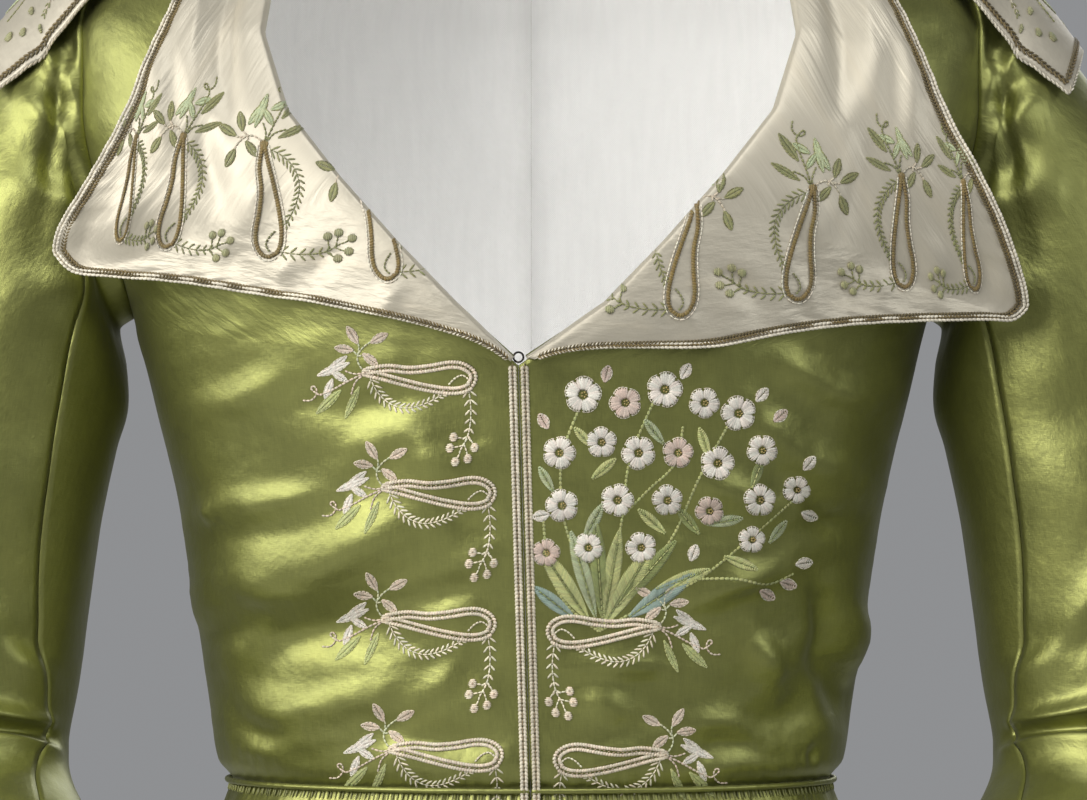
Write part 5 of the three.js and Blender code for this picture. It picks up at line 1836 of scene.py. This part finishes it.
class SewLapels(bpy.types.Operator):
    """Sew the hanging loops on the lapels and the sprays on the epaulettes"""

    bl_idname = "redingote.sew_lapels"
    bl_label = "Sew lapels"

    def execute(self, context):
        # head and foot of each loop, x and height, and its breadth
        loops = {
            "right": (
                ((-149.72, 249.28), (-156.94, 210.90), 0.42),
                ((-131.86, 249.66), (-140.22, 208.62), 0.72),
                ((-101.08, 246.62), (-101.46, 204.44), 0.95),
                ((-63.46, 235.98), (-55.48, 195.70), 0.95),
            ),
            "left": (
                ((62.70, 224.20), (58.52, 182.02), 0.95),
                ((107.16, 229.90), (102.98, 188.10), 0.92),
                ((140.98, 234.46), (143.64, 193.04), 0.72),
                ((164.54, 232.18), (169.86, 192.28), 0.5),
            ),
        }
        for number, (word, side) in enumerate(SIDES):
            needle = Needle(Ground(f"collar_satin_{word}"), 61 + number)
            for (x0, z0), (x1, z1), narrow in loops[word]:
                turn = math.degrees(math.atan2(side * (z1 - z0), side * (x1 - x0)))
                needle.frame((x0, z0), turn, side, math.hypot(x1 - x0, z1 - z0) / 40.4, narrow)
                frog(needle, LOOP_SILKS)
            needle.sew(f"lapel_loops_{word}")
            flap = Needle(Flap(side), 71 + number)
            flap.line([(14, 0), (30, -6), (48, -10), (66, -12), (82, -16)], "loop leaf", 0.9, 1.8)
            flap.fern([(30, -6), (40, 4), (54, 8), (70, 8)], "buff", "loop fern", 3.6, 2.2)
            flap.fern([(48, -10), (54, -22), (62, -30)], "buff", "loop fern", 3.4, 2.2)
            for place in (
                (26, 8), (32, 14), (40, 16), (70, -24), (76, -30), (82, -26), (66, -34), (86, 4), (84, 14),
            ):
                flap.berry(place, 1.9, "loop berry")
            for x, z, angle, silk in (
                (20, -8, 200, "loop leaf"), (24, 12, 120, "loop leaf"), (60, -18, 250, "loop fern"),
                (78, -6, 20, "pale green"), (74, 18, 60, "loop leaf"), (40, -14, 230, "loop leaf"),
                (52, 18, 100, "pale green"), (33, 3, 60, "loop fern"),
            ):
                flap.leaf((x, z), angle, 9.4, 3.4, silk, "loop vein")
            flap.sew(f"epaulette_spray_{word}")
        return {"FINISHED"}


class SewSpray(bpy.types.Operator):
    """Sew the spray of blossom on the left front, a plain design of arching branches"""

    bl_idname = "redingote.sew_spray"
    bl_label = "Sew floral spray"

    def execute(self, context):
        needle = Needle(Ground("bodice_front_left"), 83)
        foot = (26, 62)
        branches = [
            [foot, (20, 84), (13, 104), (12, 128), (20, 150)],
            [foot, (31, 84), (35, 106), (38, 128), (48, 152)],
            [foot, (40, 80), (54, 98), (64, 120), (76, 142)],
            [foot, (44, 72), (64, 82), (84, 98), (100, 112)],
            [foot, (14, 72), (7, 86), (5, 104)],
            [(35, 106), (45, 116), (55, 126), (58, 140)],
            [(64, 82), (78, 82), (90, 80), (100, 84)],
        ]
        for branch in branches:
            needle.line(branch, "moss", 1.25, 1.7, 0.45, 0.12)
        leaves = [
            (13, 80, 124, 32, 7.6, "yellow green"), (37, 79, 58, 34, 8.4, "yellow green"),
            (26, 86, 94, 38, 6.4, "leaf"), (50, 76, 34, 30, 7.6, "blue green"),
            (9, 73, 142, 20, 5.6, "blue green"), (20, 84, 106, 34, 6.2, "pale green"),
            (31, 84, 80, 34, 6.6, "yellow green"), (44, 84, 48, 34, 6.4, "leaf"),
            (58, 82, 20, 22, 5.4, "yellow green"), (24, 104, 62, 15, 4.6, "pale green"),
            (46, 104, 138, 14, 4.4, "yellow green"), (60, 104, 130, 13, 4.2, "leaf"),
            (74, 104, 10, 14, 4.4, "pale green"), (80, 88, -22, 14, 4.2, "yellow green"),
            (6, 120, 120, 11, 3.8, "pale green"), (28, 124, 40, 12, 4.0, "yellow green"),
            (47, 138, 128, 12, 4.0, "pale green"), (66, 134, 108, 12, 4.0, "yellow green"),
            (86, 122, 70, 12, 4.0, "leaf"), (20, 136, 132, 10, 3.6, "yellow green"),
            (94, 100, 52, 11, 3.8, "pale green"),
        ]
        for x, z, angle, length, width, silk in leaves:
            needle.leaf((x, z), angle, length, width, silk, None, "leaf" if silk != "leaf" else "moss", 0.8)
        flowers = [
            (20, 152, 7.4, "white", 12), (36, 149, 6.4, "blush", 40), (51, 154, 7.2, "white", 5),
            (66, 149, 6.2, "white", 60), (79, 145, 7.0, "white", 30), (11, 130, 6.6, "white", 70),
            (27, 134, 6.2, "white", 20), (41, 130, 6.8, "white", 48), (56, 130, 6.2, "blush", 10),
            (71, 126, 6.8, "white", 5), (88, 131, 6.2, "white", 55), (12, 110, 6.6, "white", 33),
            (33, 112, 6.6, "white", 0), (52, 112, 6.2, "white", 24), (68, 108, 5.8, "blush", 44),
            (87, 112, 6.4, "white", 18), (101, 116, 5.6, "white", 62), (6, 92, 5.6, "blush", 8),
            (22, 94, 6.0, "white", 52), (42, 94, 6.2, "white", 36), (84, 97, 5.4, "white", 12),
        ]
        for x, z, radius, silk, turn in flowers:
            needle.blossom((x, z), radius, silk, "gold", 5, turn, "ivory")
        for x, z, angle, silk in (
            (29, 160, 76, "blush"), (59, 161, 60, "white"), (88, 152, 48, "white"), (95, 144, 40, "blush"),
            (106, 126, 50, "white"), (104, 88, 10, "white"), (98, 80, -16, "blush"),
            (106, 106, -20, "white"), (5, 142, 120, "blush"), (4, 106, 190, "white"),
            (90, 76, -30, "blush"), (62, 92, 70, "white"),
        ):
            needle.leaf((x, z), angle, 6.6, 4.0, silk, "ivory")
        needle.sew("floral_spray")
        return {"FINISHED"}


class FinishClosure(bpy.types.Operator):
    """Give the wire eye its blackened finish"""

    bl_idname = "redingote.finish_closure"
    bl_label = "Finish closure"

    def execute(self, context):
        eye = bpy.data.objects["closure_eye"]
        if not eye.material_slots:
            raise RuntimeError("the wire eye has no material slot")
        for slot in eye.material_slots:
            slot.material = finish("blackened wire")
        return {"FINISHED"}


class SetStage(bpy.types.Operator):
    """Set the floor, the soft lights, the surround and the camera"""

    bl_idname = "redingote.set_stage"
    bl_label = "Set stage"

    def execute(self, context):
        stage = context.scene.redingote_stage
        low = CAD_BOX[0][2]
        size = 6.0
        mesh = bpy.data.meshes.new("studio_floor")
        corners = [(-size, -size, low), (size, -size, low), (size, size, low), (-size, size, low)]
        mesh.from_pydata(corners, [], [(0, 1, 2, 3)])
        mesh.materials.append(finish("pale floor"))
        floor = new_object("studio_floor", mesh)
        key, fill = stage.key_power, stage.fill_power
        warm, cool, white, chest = (1.0, 0.985, 0.96), (0.97, 0.985, 1.0), (1, 1, 1), (0, 0, -0.25)
        for name, place, wide, tall, power, colour, at in (
            ("key_softbox", (-1.8, -2.1, 0.62), 1.7, 1.3, key, warm, chest),
            ("side_softbox", (-2.6, -0.3, 0.5), 1.7, 1.3, key * 0.6, warm, chest),
            ("fill_softbox", (2.4, -1.3, 0.5), 1.5, 1.2, fill, cool, chest),
            ("top_softbox", (0.1, -1.5, 1.75), 1.6, 0.8, fill * 1.5, white, chest),
            ("inside_softbox", (0.0, -0.03, -0.34), 0.2, 0.06, key * 0.0021, white, (0, 0.14, -0.08)),
            ("back_softbox", (0.8, 2.2, 0.9), 1.6, 1.6, fill * 0.8, white, chest),
        ):
            self.light(name, place, wide, tall, power, colour, at)
        world = bpy.data.worlds.new("studio_surround")
        world.use_nodes = True
        nodes, links = world.node_tree.nodes, world.node_tree.links
        nodes.clear()
        path = nodes.new("ShaderNodeLightPath")
        backdrop, room = nodes.new("ShaderNodeBackground"), nodes.new("ShaderNodeBackground")
        backdrop.inputs[0].default_value = (0.272, 0.277, 0.286, 1)
        room.inputs[0].default_value = (0.95, 0.97, 1.0, 1)
        room.inputs[1].default_value = stage.surround
        mix, out = nodes.new("ShaderNodeMixShader"), nodes.new("ShaderNodeOutputWorld")
        links.new(path.outputs["Is Camera Ray"], mix.inputs[0])
        links.new(room.outputs[0], mix.inputs[1])
        links.new(backdrop.outputs[0], mix.inputs[2])
        links.new(mix.outputs[0], out.inputs[0])
        context.scene.world = world
        lens = bpy.data.cameras.new("studio_camera")
        lens.sensor_width = 36.0
        lens.lens = stage.lens * 1000
        lens.clip_start = 0.05
        lens.clip_end = 40
        camera = bpy.data.objects.new("studio_camera", lens)
        context.scene.collection.objects.link(camera)
        camera.location = EYE
        camera.rotation_euler = (math.radians(90), 0, 0)
        context.scene.camera = camera
        context.scene.view_settings.view_transform = "Standard"
        return {"FINISHED"}

    def light(self, name, place, wide, tall, power, colour, at):
        """A softbox aimed at a point."""
        lamp = bpy.data.lights.new(name, "AREA")
        lamp.shape = "RECTANGLE"
        lamp.size, lamp.size_y, lamp.energy, lamp.color = wide, tall, power, colour
        lit = bpy.data.objects.new(name, lamp)
        bpy.context.scene.collection.objects.link(lit)
        lit.location = place
        lit.rotation_euler = (Vector(at) - Vector(place)).to_track_quat("-Z", "Y").to_euler()


STEPS = (
    MakeBodice, MakeSleeves, MakeCollar, MakeEpaulettes, MakeSkirt, MakeTrimmings, SewFrogs, SewLapels,
    SewSpray, FinishClosure, SetStage,
)


class RedingotePanel(bpy.types.Panel):
    """The garment's steps and sizes"""

    bl_idname = "VIEW3D_PT_redingote"
    bl_label = "Redingote"
    bl_space_type = "VIEW_3D"
    bl_region_type = "UI"
    bl_category = "Redingote"

    def draw(self, context):
        column = self.layout.column()
        for step in STEPS:
            column.operator(step.bl_idname)
        scene = context.scene
        for group in (scene.redingote_finishes, scene.redingote_embroidery, scene.redingote_stage):
            box = self.layout.box()
            for name in group.bl_rna.properties.keys():
                if name not in ("rna_type", "name"):
                    box.prop(group, name)


CLASSES = (RedingoteFinishes, RedingoteEmbroidery, RedingoteStage, *STEPS, RedingotePanel)


def register():
    for cls in CLASSES:
        bpy.utils.register_class(cls)
    bpy.types.Scene.redingote_finishes = PointerProperty(type=RedingoteFinishes)
    bpy.types.Scene.redingote_embroidery = PointerProperty(type=RedingoteEmbroidery)
    bpy.types.Scene.redingote_stage = PointerProperty(type=RedingoteStage)


def unregister():
    for name in ("redingote_finishes", "redingote_embroidery", "redingote_stage"):
        delattr(bpy.types.Scene, name)
    for cls in reversed(CLASSES):
        bpy.utils.unregister_class(cls)


def main():
    register()
    for step in STEPS:
        group, name = step.bl_idname.split(".")
        getattr(getattr(bpy.ops, group), name)()


if __name__ == "__main__":
    main()
